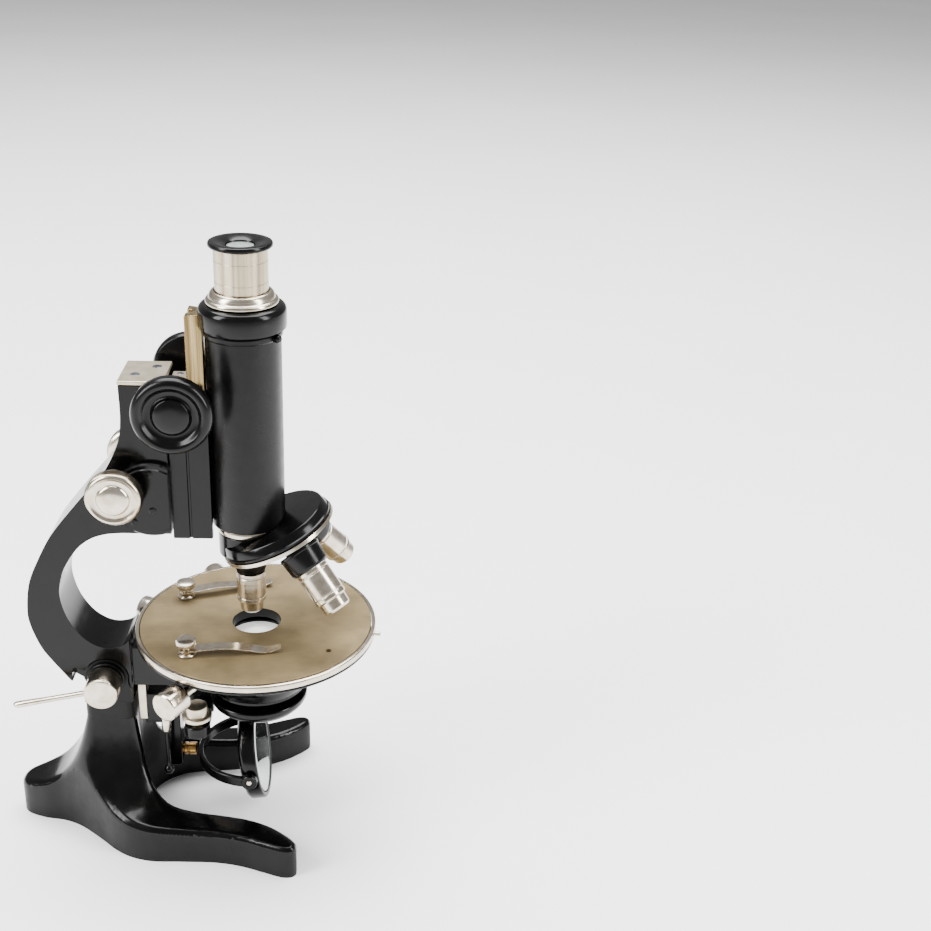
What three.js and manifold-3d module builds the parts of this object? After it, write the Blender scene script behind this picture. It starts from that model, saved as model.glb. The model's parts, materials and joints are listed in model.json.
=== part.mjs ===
// A compound microscope on a three-toed foot, black enamel with nickel-plated fittings.
// Millimetres, +Z up. The pieces are laid out around the optical axis (x = 0, y = 0), with the
// limb towards -X and the free side of the stage towards +X. Z = 0 is the table. The last lines
// move everything so that the origin is the middle of the base of the box around the object.

import * as THREE from 'three';
import { mergeVertices } from 'three/addons/utils/BufferGeometryUtils.js';
import Module from 'manifold-3d';

const wasm = await Module();
wasm.setup();

// ---------------------------------------------------------------- driving dimensions
const GAP = 0.3;                                  // clearance between neighbouring pieces

const PIVOT = { x: -73.5, z: 91.5, r: 3 };        // inclination axis of the limb on the pillar
const CHEEK_R = 10.8;                             // round top of the pillar's two cheeks
const PILLAR = { x: -73.5, hx: 12.5, hy: 14, top: 84 };
const TAIL_HALF = 9.2;                            // half width of the limb's tail between the cheeks
const LIMB_HALF = 13.9;                           // half width of the limb
const LIMB_FRONT = -60.8;                         // front face of the limb, behind the stage
const RELIEF_R = 11.3;                            // wide limb clears the round cheeks by this radius
const HEEL_R = 17.2;                              // and by this one at the back, where it tilts down

const HEAD = { left: -57, right: -36, top: 252 };
const FINE = { x: -59.7, z: 200.5, r: 13.6, inner: 22.4, outer: 32.4 };
const COVER = { x: -44.5, z: 194.6, r: 19.2, outer: 18.4 };
const COARSE = { x: -29.8, z: 244.8, r: 18.8, inner: 25.6, outer: 35.2 };
const GUIDE = { left: -35.6, right: -18.9, half: 12, bottom: 171.6, top: 248.6 };

const TUBE = { r: 17.9, bore: 15.4, bottom: 176.8, top: 287.4 };
const COLLAR = { r: 20.6, bottom: 277.6, top: 289.3 };
const DRAW = { r: 12.5, bore: 11.9, bottom: 200, top: 315.6 };
const BAR = { back: -26, front: -18.2, bottom: 178, top: 284.6 };

const TURRET = { x: 14.8, z: 169, tilt: THREE.MathUtils.degToRad(25.1), r: 29.6 };

const STAGE = { x: 2.2, top: 118.4, under: 113.2, r: 59, rim: 61.3, hole: 12 };
const SCREW_R = 72;                               // reach of the stage's centring screws
const CONDENSER = { bottom: 69.4, top: 109.4, body: 17.6 };
const MIRROR = { x: -1, z: 37.6, fork: 28.4, lean: THREE.MathUtils.degToRad(8) };

// Rack and pinion: teeth of the coarse adjustment.
const MODULE = 0.5;
const PINION_TEETH = 12;
const PINION_PITCH_R = MODULE * PINION_TEETH / 2;

// ---------------------------------------------------------------- finishes
const finish = (color, roughness, metalness) => new THREE.MeshStandardMaterial({ color, roughness, metalness });
const ENAMEL = () => finish(0x121214, 0.22, 0.0);
const NICKEL = () => finish(0xcfc6b4, 0.25, 1.0);
const BRONZE = () => finish(0x7d7259, 0.5, 0.8);
const BRASS = () => finish(0xb08d57, 0.35, 1.0);
const STEEL = () => finish(0x8a8c90, 0.35, 1.0);
const EBONITE = () => finish(0x17161a, 0.35, 0.0);
const GLASS = () => finish(0xdfe8ea, 0.05, 0.0);
const SILVERED = () => finish(0xd8dadb, 0.05, 1.0);

// ---------------------------------------------------------------- geometry helpers
// Merge shared corners and drop the empty triangles that a lathe leaves on its axis.
function welded(geometry) {
  const g = geometry.index ? geometry.toNonIndexed() : geometry.clone();
  g.deleteAttribute('normal');
  g.deleteAttribute('uv');
  const merged = mergeVertices(g, 1e-4);
  const index = merged.index.array;
  const kept = [];
  for (let i = 0; i < index.length; i += 3) {
    const [a, b, c] = [index[i], index[i + 1], index[i + 2]];
    if (a !== b && b !== c && a !== c) kept.push(a, b, c);
  }
  merged.setIndex(kept);
  return outward(merged);
}

// Turn every face round if the solid's signed volume is negative.
function outward(geometry) {
  const p = geometry.attributes.position;
  const index = geometry.index.array;
  const [a, b, c] = [new THREE.Vector3(), new THREE.Vector3(), new THREE.Vector3()];
  let volume = 0;
  for (let i = 0; i < index.length; i += 3) {
    a.fromBufferAttribute(p, index[i]);
    b.fromBufferAttribute(p, index[i + 1]);
    c.fromBufferAttribute(p, index[i + 2]);
    volume += a.dot(b.cross(c));
  }
  if (volume < 0) {
    const turned = [];
    for (let i = 0; i < index.length; i += 3) turned.push(index[i], index[i + 2], index[i + 1]);
    geometry.setIndex(turned);
  }
  return geometry;
}

function toSolid(geometry) {
  const g = welded(geometry);
  return new wasm.Manifold(new wasm.Mesh({
    numProp: 3,
    vertProperties: new Float32Array(g.attributes.position.array),
    triVerts: new Uint32Array(g.index.array),
  }));
}

function fromSolid(solid) {
  const m = solid.getMesh();
  const g = new THREE.BufferGeometry();
  g.setAttribute('position', new THREE.BufferAttribute(new Float32Array(m.vertProperties), 3));
  g.setIndex(new THREE.BufferAttribute(new Uint32Array(m.triVerts), 1));
  return g;
}

const cut = (body, ...tools) => fromSolid(tools.reduce((s, t) => s.subtract(toSolid(t)), toSolid(body)));
const join = (...bodies) => fromSolid(bodies.slice(1).reduce((s, b) => s.add(toSolid(b)), toSolid(bodies[0])));
const common = (a, b) => fromSolid(toSolid(a).intersect(toSolid(b)));

// A turned piece about +Z. The profile is a list of [radius, height]; it starts and ends on the
// axis, or it is closed on itself when `ring` is true.
function turned(profile, segments = 32, ring = false) {
  const points = profile.map(([r, z]) => new THREE.Vector2(r, z));
  if (ring) points.push(points[0].clone());
  return welded(new THREE.LatheGeometry(points, segments).rotateX(Math.PI / 2));
}

// The same about +Y: heights run along Y.
const turnedY = (profile, segments, ring) => turned(profile, segments, ring).rotateX(-Math.PI / 2);

const rod = (r, z0, z1, segments = 20) => turned([[0, z0], [r, z0], [r, z1], [0, z1]], segments);
const rodY = (r, y0, y1, segments = 20) => turnedY([[0, y0], [r, y0], [r, y1], [0, y1]], segments);

function box(x0, x1, y0, y1, z0, z1) {
  const g = new THREE.BoxGeometry(x1 - x0, y1 - y0, z1 - z0);
  return g.translate((x0 + x1) / 2, (y0 + y1) / 2, (z0 + z1) / 2);
}

// A side outline in the X-Z plane given a width in Y.
function sideCut(shape, y0, y1, steps = 10) {
  const g = new THREE.ExtrudeGeometry(shape, { depth: y1 - y0, bevelEnabled: false, curveSegments: steps });
  return g.rotateX(Math.PI / 2).translate(0, y1, 0);
}

// A plan outline in the X-Y plane given a height.
function planCut(shape, z0, z1, steps = 10) {
  const g = new THREE.ExtrudeGeometry(shape, { depth: z1 - z0, bevelEnabled: false, curveSegments: steps });
  return g.translate(0, 0, z0);
}

function outline(points) {
  return new THREE.Shape(points.map(([u, v]) => new THREE.Vector2(u, v)));
}

// A smooth closed outline through a few points.
function smoothOutline(points, divisions) {
  const curve = new THREE.CatmullRomCurve3(points.map(([u, v]) => new THREE.Vector3(u, v, 0)), true, 'centripetal');
  return new THREE.Shape(curve.getPoints(divisions).slice(0, -1).map((p) => new THREE.Vector2(p.x, p.y)));
}

function roundedRectangle(cx, cy, hx, hy, r) {
  const s = new THREE.Shape();
  s.absarc(cx + hx - r, cy + hy - r, r, 0, Math.PI / 2);
  s.absarc(cx - hx + r, cy + hy - r, r, Math.PI / 2, Math.PI);
  s.absarc(cx - hx + r, cy - hy + r, r, Math.PI, 1.5 * Math.PI);
  s.absarc(cx + hx - r, cy - hy + r, r, 1.5 * Math.PI, 2 * Math.PI);
  return s;
}

// A closed loft through rings of equally many points, listed from the lowest ring to the highest.
function loft(rings) {
  const n = rings[0].length;
  const position = rings.flat().flatMap((p) => [p.x, p.y, p.z]);
  const index = [];
  for (let k = 0; k + 1 < rings.length; k += 1) {
    for (let i = 0; i < n; i += 1) {
      const [a, b] = [k * n + i, k * n + (i + 1) % n];
      index.push(a, b, b + n, a, b + n, a + n);
    }
  }
  const last = (rings.length - 1) * n;
  for (let i = 1; i + 1 < n; i += 1) {
    index.push(0, i + 1, i);
    index.push(last, last + i, last + i + 1);
  }
  const g = new THREE.BufferGeometry();
  g.setAttribute('position', new THREE.Float32BufferAttribute(position, 3));
  g.setIndex(index);
  return g;
}

const microscope = new THREE.Group();

function add(parent, name, geometry, material) {
  const mesh = new THREE.Mesh(geometry, material);
  mesh.name = name;
  parent.add(mesh);
  return mesh;
}

// ---------------------------------------------------------------- foot and pillar
// Half of the foot's plan outline, from the middle of the heel round one toe to the crotch.
const FOOT_HALF = [
  [-123, 7], [-113, 11.6], [-103, 13.6], [-94, 17.5], [-86, 23.5], [-78, 30.5], [-70, 37.8],
  [-61, 43.3], [-50, 46.2], [-35, 46.6], [-18, 47.2], [-4, 50], [8, 54.6], [18, 58.3],
  [23.6, 57.5], [25, 52.5], [20, 46.2], [10, 38.6], [-2, 33.4], [-16, 30.6], [-30, 29.2],
  [-43, 27], [-53, 20.5], [-59, 11],
];
const FOOT_TOP = 18.5;          // height of the toes' upper face
const FLARE = 48;               // how much higher the casting stands where it meets the pillar
const FLARE_REACH = 11;         // how fast that falls away

function footCasting() {
  const mirrored = FOOT_HALF.slice().reverse().map(([x, y]) => [x, -y]);
  const plan = planCut(smoothOutline([[-126.2, 0], ...FOOT_HALF, [-61.5, 0], ...mirrored], 112), 0, 90);
  // Rounded rectangles that grow outwards and sink from the pillar to the toes.
  const ring = (d, z) => {
    const s = roundedRectangle(PILLAR.x, 0, PILLAR.hx + d, PILLAR.hy + d, 4 + d);
    return s.getPoints(5).map((p) => new THREE.Vector3(p.x, p.y, z));
  };
  const offsets = [130, 45, 30, 21, 15, 10.5, 7, 4.2, 2, 0.6, 0];
  const flare = loft([ring(130, -5), ...offsets.map((d) => ring(d, FOOT_TOP + FLARE * Math.exp(-d / FLARE_REACH)))]);
  const column = planCut(roundedRectangle(PILLAR.x, 0, PILLAR.hx, PILLAR.hy, 4), 8, PILLAR.top, 5);
  const cheek = new THREE.Shape();
  cheek.moveTo(PILLAR.x - PILLAR.hx + 0.4, 74);
  cheek.lineTo(PILLAR.x + PILLAR.hx - 0.4, 74);
  cheek.lineTo(PILLAR.x + PILLAR.hx - 0.4, 83);
  cheek.absarc(PIVOT.x, PIVOT.z, CHEEK_R, -0.25, Math.PI + 0.25);
  cheek.lineTo(PILLAR.x - PILLAR.hx + 0.4, 83);
  const body = join(common(plan, flare), column, sideCut(cheek, -PILLAR.hy, PILLAR.hy, 14));
  const boss = (y0, y1) => rodY(9.4, y0, y1, 28).translate(PIVOT.x, 0, PIVOT.z);
  const slot = box(-100, -50, -TAIL_HALF - GAP, TAIL_HALF + GAP, 76.6, 110);
  const bore = rodY(PIVOT.r + GAP, -40, 40, 24).translate(PIVOT.x, 0, PIVOT.z);
  return cut(join(body, boss(-15.5, -PILLAR.hy + 1), boss(PILLAR.hy - 1, 16)), slot, bore);
}

add(microscope, 'foot_pillar', footCasting(), ENAMEL());
add(microscope, 'inclination_pin', rodY(PIVOT.r, -15.8, 16.2, 24), STEEL()).position.set(PIVOT.x, 0, PIVOT.z);
const capProfile = [[0, 16.5], [8.2, 16.5], [8.2, 20.2], [7.2, 21.2], [0, 21.8]];
add(microscope, 'pivot_cap', turnedY(capProfile, 28), NICKEL()).position.set(PIVOT.x, 0, PIVOT.z);

// ---------------------------------------------------------------- clamping lever of the inclination
const clamp = new THREE.Group();
clamp.position.set(PIVOT.x, 0, PIVOT.z);
microscope.add(clamp);
const clampProfile = [[0, -30.2], [7.6, -30.2], [8.7, -29.2], [8.7, -17.2], [7.9, -16.2], [0, -16.2]];
add(clamp, 'clamp_knob', turnedY(clampProfile, 32), NICKEL());
const leverProfile = [[0, 9.1], [1.45, 9.1], [1.5, 30], [1.8, 44], [1.4, 45.6], [0, 45.9]];
const lever = add(clamp, 'clamp_lever', turned(leverProfile, 16), NICKEL());
lever.position.y = -25.2;
lever.rotation.y = THREE.MathUtils.degToRad(-102);

// ---------------------------------------------------------------- limb
function limbCasting() {
  const s = new THREE.Shape();
  s.moveTo(HEAD.right, HEAD.top);
  s.lineTo(HEAD.left, HEAD.top);
  s.splineThru([[-57, 235], [-59, 223], [-65.8, 208.8], [-73.6, 199.2], [-82, 189.3], [-94.3, 173.5], [-102, 159.5],
    [-107.6, 146], [-109.8, 131], [-109, 122], [-105.4, 110.7], [-101.1, 103], [-91.4, 89.2]].map(([x, z]) => new THREE.Vector2(x, z)));
  s.absarc(PIVOT.x, PIVOT.z, 13.4, Math.PI + 0.2, 2 * Math.PI - 0.61);
  s.lineTo(LIMB_FRONT, 84.5);
  s.lineTo(LIMB_FRONT, 114);
  s.splineThru([[-63.6, 111], [-68, 109.3], [-73.5, 109.3], [-79, 111.6], [-85, 117], [-90.6, 127], [-93.2, 140],
    [-91, 151.5], [-87.4, 158.9], [-82, 166.5], [-75.5, 171.6], [-68, 174.2], [-60, 175]].map(([x, z]) => new THREE.Vector2(x, z)));
  s.lineTo(HEAD.right, 175);
  const wide = sideCut(s, -LIMB_HALF, LIMB_HALF, 4);
  // Outside the cheeks the wide part stands clear of their round tops and shoulders.
  const relief = (y0, y1) => {
    const heel = sideCut(outline([[0, 0], [-30, 10.9], [-30, -30], [0, -30]]), y0, y1);
    const shoulders = sideCut(outline([[-13, -8], [-11.2, -2.2], [11.2, -2.2], [12.2, -7], [12.2, -8]]), y0, y1);
    const round = join(rodY(RELIEF_R, y0, y1, 40), common(rodY(HEEL_R, y0, y1, 48), heel), shoulders);
    return join(round, box(-30, 30, y0, y1, -30, -7.2)).translate(PIVOT.x, 0, PIVOT.z);
  };
  const bore = (r, x, z) => rodY(r, -40, 40, 24).translate(x, 0, z);
  return cut(wide, relief(-30, -TAIL_HALF), relief(TAIL_HALF, 30), bore(PIVOT.r + GAP, PIVOT.x, PIVOT.z),
    bore(4.3, FINE.x, FINE.z));
}

add(microscope, 'limb', limbCasting(), ENAMEL());
const headPlate = planCut(roundedRectangle((HEAD.left + HEAD.right) / 2 - 0.2, 0, 10.9, 14.3, 0.8), HEAD.top + GAP, 254.6, 3);
add(microscope, 'head_plate', headPlate, NICKEL());

// The fine adjustment's round housings, one on each side, with a hole for the spindle.
for (const [name, side] of [['fine_cover_near', -1], ['fine_cover_far', 1]]) {
  const dome = [[0, LIMB_HALF + GAP], [COVER.r, LIMB_HALF + GAP], [COVER.r, 16.6], [17.6, COVER.outer],
    [0, COVER.outer]].map(([r, y]) => [r, side * y]);
  const drum = turnedY(dome, 48).translate(COVER.x, 0, COVER.z);
  const trimmed = box(-70, HEAD.right + 0.2, -30, 30, 150, 240);
  const hole = rodY(4.3, -40, 40, 20).translate(FINE.x, 0, FINE.z);
  add(microscope, name, cut(common(drum, trimmed), hole), ENAMEL());
}

// ---------------------------------------------------------------- fine adjustment spindle and knobs
const fine = new THREE.Group();
fine.position.set(FINE.x, 0, FINE.z);
microscope.add(fine);
add(fine, 'fine_spindle', rodY(4, -FINE.inner + GAP, FINE.inner - GAP, 20), STEEL());
for (const [name, side] of [['fine_knob_near', -1], ['fine_knob_far', 1]]) {
  const knob = [[0, FINE.inner], [12, FINE.inner], [13.6, 23.4], [13.6, 29.2], [12.9, 30.2], [11.9, 30.6], [9.6, 29.6],
    [7.4, 30], [6.8, 31.4], [4, 32.2], [0, FINE.outer]].map(([r, y]) => [r, side * y]);
  add(fine, name, turnedY(knob, 28), NICKEL());
}

// ---------------------------------------------------------------- coarse adjustment block
// The block slides a little on the limb for fine focus and guides the bar that carries the tube.
function guideBlock() {
  const { left, right, half, bottom, top } = GUIDE;
  const flange = (y0, y1) => box(right - 1, right + 2.4, y0, y1, bottom, top);
  const body = join(box(left, right, -half, half, bottom, top), flange(-half, -8.5), flange(8.5, half));
  const groove = outline([[BAR.back - GAP, -9.3], [right + 1, -6], [right + 1, 6], [BAR.back - GAP, 9.3]]);
  const channel = planCut(groove, bottom - 1, top + 1);
  const rackRoom = box(BAR.back - 1.7, BAR.back, -2.6, 2.6, bottom - 1, top + 1);
  const pinionRoom = rodY(PINION_PITCH_R + 0.9, -4, 4, 24).translate(COARSE.x, 0, COARSE.z);
  const shaftBore = rodY(2.6, -20, 20, 20).translate(COARSE.x, 0, COARSE.z);
  return cut(body, channel, rackRoom, pinionRoom, shaftBore);
}

add(microscope, 'guide_block', guideBlock(), ENAMEL());
const capOutline = outline([[-35.2, -11.4], [-27.6, -11.4], [-27.6, 11.4], [-35.2, 11.4]]);
add(microscope, 'guide_plate', planCut(capOutline, GUIDE.top + GAP, 250.8), STEEL());

// ---------------------------------------------------------------- coarse pinion and knobs
const coarse = new THREE.Group();
coarse.position.set(COARSE.x, 0, COARSE.z);
microscope.add(coarse);

function pinion() {
  const pitch = 2 * Math.PI / PINION_TEETH;
  const tooth = [[PINION_PITCH_R - 0.62, -0.3], [PINION_PITCH_R + 0.42, -0.13], [PINION_PITCH_R + 0.42, 0.13],
    [PINION_PITCH_R - 0.62, 0.3]];
  const points = [];
  for (let i = 0; i < PINION_TEETH; i += 1) {
    // The half step leaves a tooth space facing the rack's tooth at rest.
    for (const [r, t] of tooth) {
      const angle = (i + 0.5 + t) * pitch;
      points.push([r * Math.cos(angle), r * Math.sin(angle)]);
    }
  }
  return join(sideCut(outline(points), -2.2, 2.2), rodY(2.2, -25.2, 25.2, 20));
}

add(coarse, 'coarse_pinion', pinion(), STEEL());
for (const [name, side] of [['coarse_knob_near', -1], ['coarse_knob_far', 1]]) {
  const knob = [[0, COARSE.inner], [7, COARSE.inner], [17.4, 26.2], [18.8, 27.6], [18.8, 33.4], [18, 34.6], [16.4, 35.2],
    [14.2, 34.6], [11.6, 32.6], [9.2, 32.2], [8.2, 33.2], [6, 34.6], [0, COARSE.outer]].map(([r, y]) => [r, side * y]);
  add(coarse, name, turnedY(knob, 36), EBONITE());
}

// ---------------------------------------------------------------- tube with its dovetail bar and rack
const barOutline = outline([[BAR.back, -8.6], [BAR.front, -5.5], [BAR.front, 5.5], [BAR.back, 8.6]]);
const rackChannel = box(BAR.back - 1, BAR.back + 2.2, -2.3, 2.3, BAR.bottom - 1, BAR.top + 1);
add(microscope, 'slide_bar', cut(planCut(barOutline, BAR.bottom, BAR.top), rackChannel), NICKEL());

function rackStrip() {
  const pitch = Math.PI * MODULE;
  const pitchX = COARSE.x + PINION_PITCH_R;
  const back = BAR.back + 1.9;
  const points = [[back, BAR.bottom + 1], [back, BAR.top - 8]];
  const count = Math.floor((BAR.top - 10 - COARSE.z) / pitch);
  const lowest = -Math.floor((COARSE.z - BAR.bottom - 3) / pitch);
  points.push([pitchX + 0.62, BAR.top - 8]);
  for (let i = count; i >= lowest; i -= 1) {
    const z = COARSE.z + i * pitch;
    points.push([pitchX + 0.62, z + 0.3 * pitch], [pitchX - 0.42, z + 0.12 * pitch]);
    points.push([pitchX - 0.42, z - 0.12 * pitch], [pitchX + 0.62, z - 0.3 * pitch]);
  }
  points.push([pitchX + 0.62, BAR.bottom + 1]);
  return sideCut(outline(points), -2, 2);
}

add(microscope, 'rack', rackStrip(), BRASS());

const bodyProfile = [[TUBE.bore, TUBE.bottom], [TUBE.r, TUBE.bottom], [TUBE.r, 274], [18.7, 274.6], [18.7, 276.6],
  [TUBE.r, 277.2], [TUBE.r, TUBE.top], [TUBE.bore, TUBE.top]];
const barSeat = box(-26, -TUBE.r - 0.05, -6.6, 6.6, 270, BAR.top + GAP);
add(microscope, 'body_tube', cut(turned(bodyProfile, 40, true), barSeat), ENAMEL());
const collarRing = [[TUBE.r + GAP, COLLAR.bottom], [19.6, COLLAR.bottom], [COLLAR.r, 278.6], [COLLAR.r, 287.4],
  [19.4, COLLAR.top], [TUBE.bore, COLLAR.top], [TUBE.bore, TUBE.top + GAP], [TUBE.r + GAP, TUBE.top + GAP]];
add(microscope, 'tube_collar', cut(turned(collarRing, 40, true), barSeat), ENAMEL());
const bushRing = [[DRAW.r + GAP, 282], [TUBE.bore - GAP, 282], [TUBE.bore - GAP, COLLAR.top + GAP], [17, COLLAR.top + GAP],
  [17, 291.6], [15.4, 292.6], [14.8, 295.2], [DRAW.r + GAP, 295.6]];
add(microscope, 'tube_bush', turned(bushRing, 32, true), NICKEL());
const noseRing = [[11, 172.6], [15.4, 172.6], [16, 173.4], [16, 175.4], [15.4, TUBE.bottom - GAP], [11, TUBE.bottom - GAP]];
add(microscope, 'nose_ring', turned(noseRing, 32, true), NICKEL());

// ---------------------------------------------------------------- draw tube and eyepiece
const drawProfile = [[DRAW.bore, DRAW.bottom], [DRAW.r, DRAW.bottom], [DRAW.r, DRAW.top], [DRAW.bore, DRAW.top]];
add(microscope, 'draw_tube', turned(drawProfile, 40, true), NICKEL());
const eyepieceProfile = [[10.6, 272], [11.6, 272], [11.6, DRAW.top + GAP], [14.2, DRAW.top + GAP], [14.9, 316.6], [14.9, 318],
  [14.2, 318.5], [8, 318.5], [6.6, 317.2], [6.6, 315], [10.6, 314]];
add(microscope, 'eyepiece', turned(eyepieceProfile, 32, true), EBONITE());
add(microscope, 'eye_lens', turned([[0, 315.3], [6.2, 315.8], [6.2, 316.4], [0, 317.1]], 24), GLASS());
add(microscope, 'field_lens', turned([[0, 273], [10.2, 274], [10.2, 274.6], [0, 276.4]], 24), GLASS());

// ---------------------------------------------------------------- revolving nosepiece
// Both plates lean so that each objective comes upright under the tube in its turn.
const nose = new THREE.Group();
nose.position.set(TURRET.x, 0, TURRET.z);
nose.rotation.y = -TURRET.tilt;
microscope.add(nose);

function nosePlate() {
  const dome = turned([[0, 2.3], [28.8, 2.3], [28.9, 3.6], [28.2, 4], [27, 7.8], [26.4, 8.2], [0, 8.8]], 40);
  const upright = new THREE.Matrix4().makeRotationY(TURRET.tilt);
  upright.multiply(new THREE.Matrix4().makeTranslation(-TURRET.x, 0, -TURRET.z));
  const neck = rod(15.4, 160, 172.3, 40).applyMatrix4(upright);
  const room = rod(TUBE.r + 0.5, 172.3, 200, 40).applyMatrix4(upright);
  const lightWay = rod(9, 140, 190, 24).applyMatrix4(upright);
  return cut(join(dome, neck), room, lightWay, box(-60, 60, -60, 60, -40, 2.3));
}

add(nose, 'nose_plate', nosePlate(), ENAMEL());
const rimProfile = [[28.5, 0], [29.2, -0.2], [29.6, 0.3], [29.6, 1.6], [29.2, 2], [28.5, 2]];
add(nose, 'turret_rim', turned(rimProfile, 40, true), NICKEL());
const dishProfile = [[0, -9.3], [6.5, -9.3], [27.8, -0.2], [28.2, 0], [28.2, 2], [0, 2]];
const ARM = TURRET.x / Math.sin(TURRET.tilt);     // apex to the turret's lower plane, along its axis

// Put a piece modelled along -Z from the apex into the turret's frame at one of three stations.
function atStation(geometry, angle) {
  return geometry.rotateY(TURRET.tilt).translate(0, 0, ARM).rotateZ(angle);
}

const stations = [0, 2 * Math.PI / 3, -2 * Math.PI / 3];
const throats = stations.map((a) => atStation(rod(7.4, -60, -20, 24), a));
add(nose, 'turret_dish', cut(turned(dishProfile, 40), ...throats), ENAMEL());
add(nose, 'turret_screw', rod(4.8, -11.6, -9.6, 20), NICKEL());

// Objectives: screwed into the dish, each with a collar, a barrel and a front lens.
const SEAT_S = 43.9;                              // apex to the dish's face along an objective
const OBJECTIVES = [
  { name: 'objective_1', top: 7.8, foot: 7.2, collar: 52, end: 75, r: 7.4, nose: 5.8 },
  { name: 'objective_2', top: 10.8, foot: 9.4, collar: 55, end: 79.2, r: 8.3, nose: 7 },
  { name: 'objective_3', top: 10.8, foot: 9.4, collar: 55, end: 80.2, r: 7.8, nose: 6.6 },
];
OBJECTIVES.forEach(({ name, top, foot, collar, end, r, nose: tip }, i) => {
  const body = [[5.4, -39.8], [6.9, -39.8], [6.9, -SEAT_S], [top - 0.6, -SEAT_S], [top, -SEAT_S - 0.8], [top, -SEAT_S - 1.8],
    [foot, -collar], [r, -collar - 0.4], [r, -end + 6.4], [tip + 0.2, -end + 5.6], [tip, -end + 1], [tip - 0.9, -end],
    [3.2, -end], [3.2, -end + 3], [5.4, -end + 5]];
  add(nose, name, atStation(turned(body, 20, true), stations[i]), NICKEL());
  const lens = turned([[0, -end + 0.9], [2.8, -end + 0.9], [2.8, -end + 2.2], [0, -end + 2.8]], 16);
  add(nose, `${name}_lens`, atStation(lens, stations[i]), GLASS());
});

// ---------------------------------------------------------------- stage
const stage = new THREE.Group();
stage.position.x = STAGE.x;
microscope.add(stage);
const plateProfile = [[STAGE.hole, STAGE.under], [STAGE.r, STAGE.under], [STAGE.r, STAGE.top], [STAGE.hole, STAGE.top]];
const clipHole = (angle, radius) => rod(2.1, 100, 130, 16).translate(radius * Math.cos(angle), radius * Math.sin(angle), 0);
const CLIPS = [
  { side: 'near', angle: THREE.MathUtils.degToRad(-132.7), points: THREE.MathUtils.degToRad(5.5) },
  { side: 'far', angle: THREE.MathUtils.degToRad(149.7), points: THREE.MathUtils.degToRad(17.6) },
];
const CLIP_RADIUS = 45.6;
const spareHole = rod(1.5, 116.6, 130, 12).translate(38.4, -28.4, 0);
add(stage, 'stage_plate', cut(turned(plateProfile, 60, true), spareHole, ...CLIPS.map((c) => clipHole(c.angle, CLIP_RADIUS))),
  BRONZE());
const rimRing = [[STAGE.r + GAP, STAGE.under], [60.8, STAGE.under], [STAGE.rim, 113.8], [STAGE.rim, 117.4], [60.6, 118.3],
  [STAGE.r + GAP, 118.3]];
add(stage, 'stage_rim', turned(rimRing, 60, true), NICKEL());
const stop = add(stage, 'stage_stop', rod(1.1, 61.6, 64.6, 12), NICKEL());
stop.position.z = 116;
stop.rotation.set(0, Math.PI / 2, THREE.MathUtils.degToRad(-7.7), 'ZYX');

for (const { side, angle, points } of CLIPS) {
  const clip = new THREE.Group();
  clip.position.set(CLIP_RADIUS * Math.cos(angle), CLIP_RADIUS * Math.sin(angle), STAGE.top);
  clip.rotation.z = points;
  stage.add(clip);
  const post = [[0, -4.4], [1.8, -4.4], [1.8, 0.2], [4.4, 0.3], [4.4, 1.4], [2, 2.2], [1.9, 5], [4.4, 5.8], [4.9, 6.4], [4.9, 8.6],
    [4.2, 9.4], [0, 9.6]];
  add(clip, `clip_post_${side}`, turned(post, 16), NICKEL());
  // A sprung strip bowed down to the plate near its tip, in side view.
  const strip = new THREE.Shape();
  strip.moveTo(2.5, 3);
  strip.splineThru([[16, 3.9], [30, 2.2], [37, 0.7], [41, 0.9], [46, 2.2]].map(([x, z]) => new THREE.Vector2(x, z)));
  strip.lineTo(45.8, 2.9);
  strip.splineThru([[41, 1.6], [37, 1.4], [30, 2.9], [16, 4.6], [2.5, 3.7]].map(([x, z]) => new THREE.Vector2(x, z)));
  const flat = sideCut(strip, -4, 4, 4);
  const eye = rod(4, 3, 3.7, 20);
  const bore = rod(2.3, 2, 5, 20);
  add(clip, `clip_spring_${side}`, cut(join(flat, eye), bore), NICKEL());
}

// Screws that centre and hold the stage, pointing at its middle from below the rim.
const SCREWS = [
  { name: 'centring_screw_near', degrees: -122.5, z: 105.6, seat: 60, reach: SCREW_R, r: 7.2 },
  { name: 'centring_screw_far', degrees: 153.5, z: 105.6, seat: 60, reach: SCREW_R, r: 7.2 },
  { name: 'stage_clamp_screw', degrees: 114.7, z: 107.9, seat: 62.6, reach: SCREW_R + 2.6, r: 6.6 },
];
function radial(geometry, { degrees, z }) {
  return geometry.rotateY(Math.PI / 2).translate(0, 0, z).rotateZ(THREE.MathUtils.degToRad(degrees));
}
for (const screw of SCREWS) {
  const { seat, reach, r } = screw;
  const profile = [[0, 42], [2.4, 42], [2.4, seat - 0.5], [r - 0.6, seat], [r, seat + 0.8], [r, reach - 0.8],
    [r - 0.8, reach], [0, reach]];
  add(stage, screw.name, radial(turned(profile, 20), screw), NICKEL());
}

// Black bearing under the stage, a shallow dish with a bore for the condenser, and its bracket.
const BEARING = [[25.2, 82], [25.6, 84], [26.4, 88], [32, 96], [44, 105], [56.6, 110.4], [57.4, 112.9]];
const bearing = turned([[18.6, 82], ...BEARING, [18.6, 112.9]], 40, true);
add(stage, 'stage_bearing', cut(bearing, ...SCREWS.map((screw) => radial(rod(2.7, 38, 62, 16), screw))), ENAMEL());
const bracketSide = outline([[-60.2, 86], [-60.2, 109], [-20, 109], [-20, 84], [-38, 84], [-44, 86]]);
const coneRoom = turned([[0, 80], ...BEARING.map(([r, z]) => [r + 0.35, z - 0.25]), [62, 114], [0, 114]], 40);
add(microscope, 'stage_bracket', cut(sideCut(bracketSide, -13, 13), coneRoom.translate(STAGE.x, 0, 0)), ENAMEL());

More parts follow.
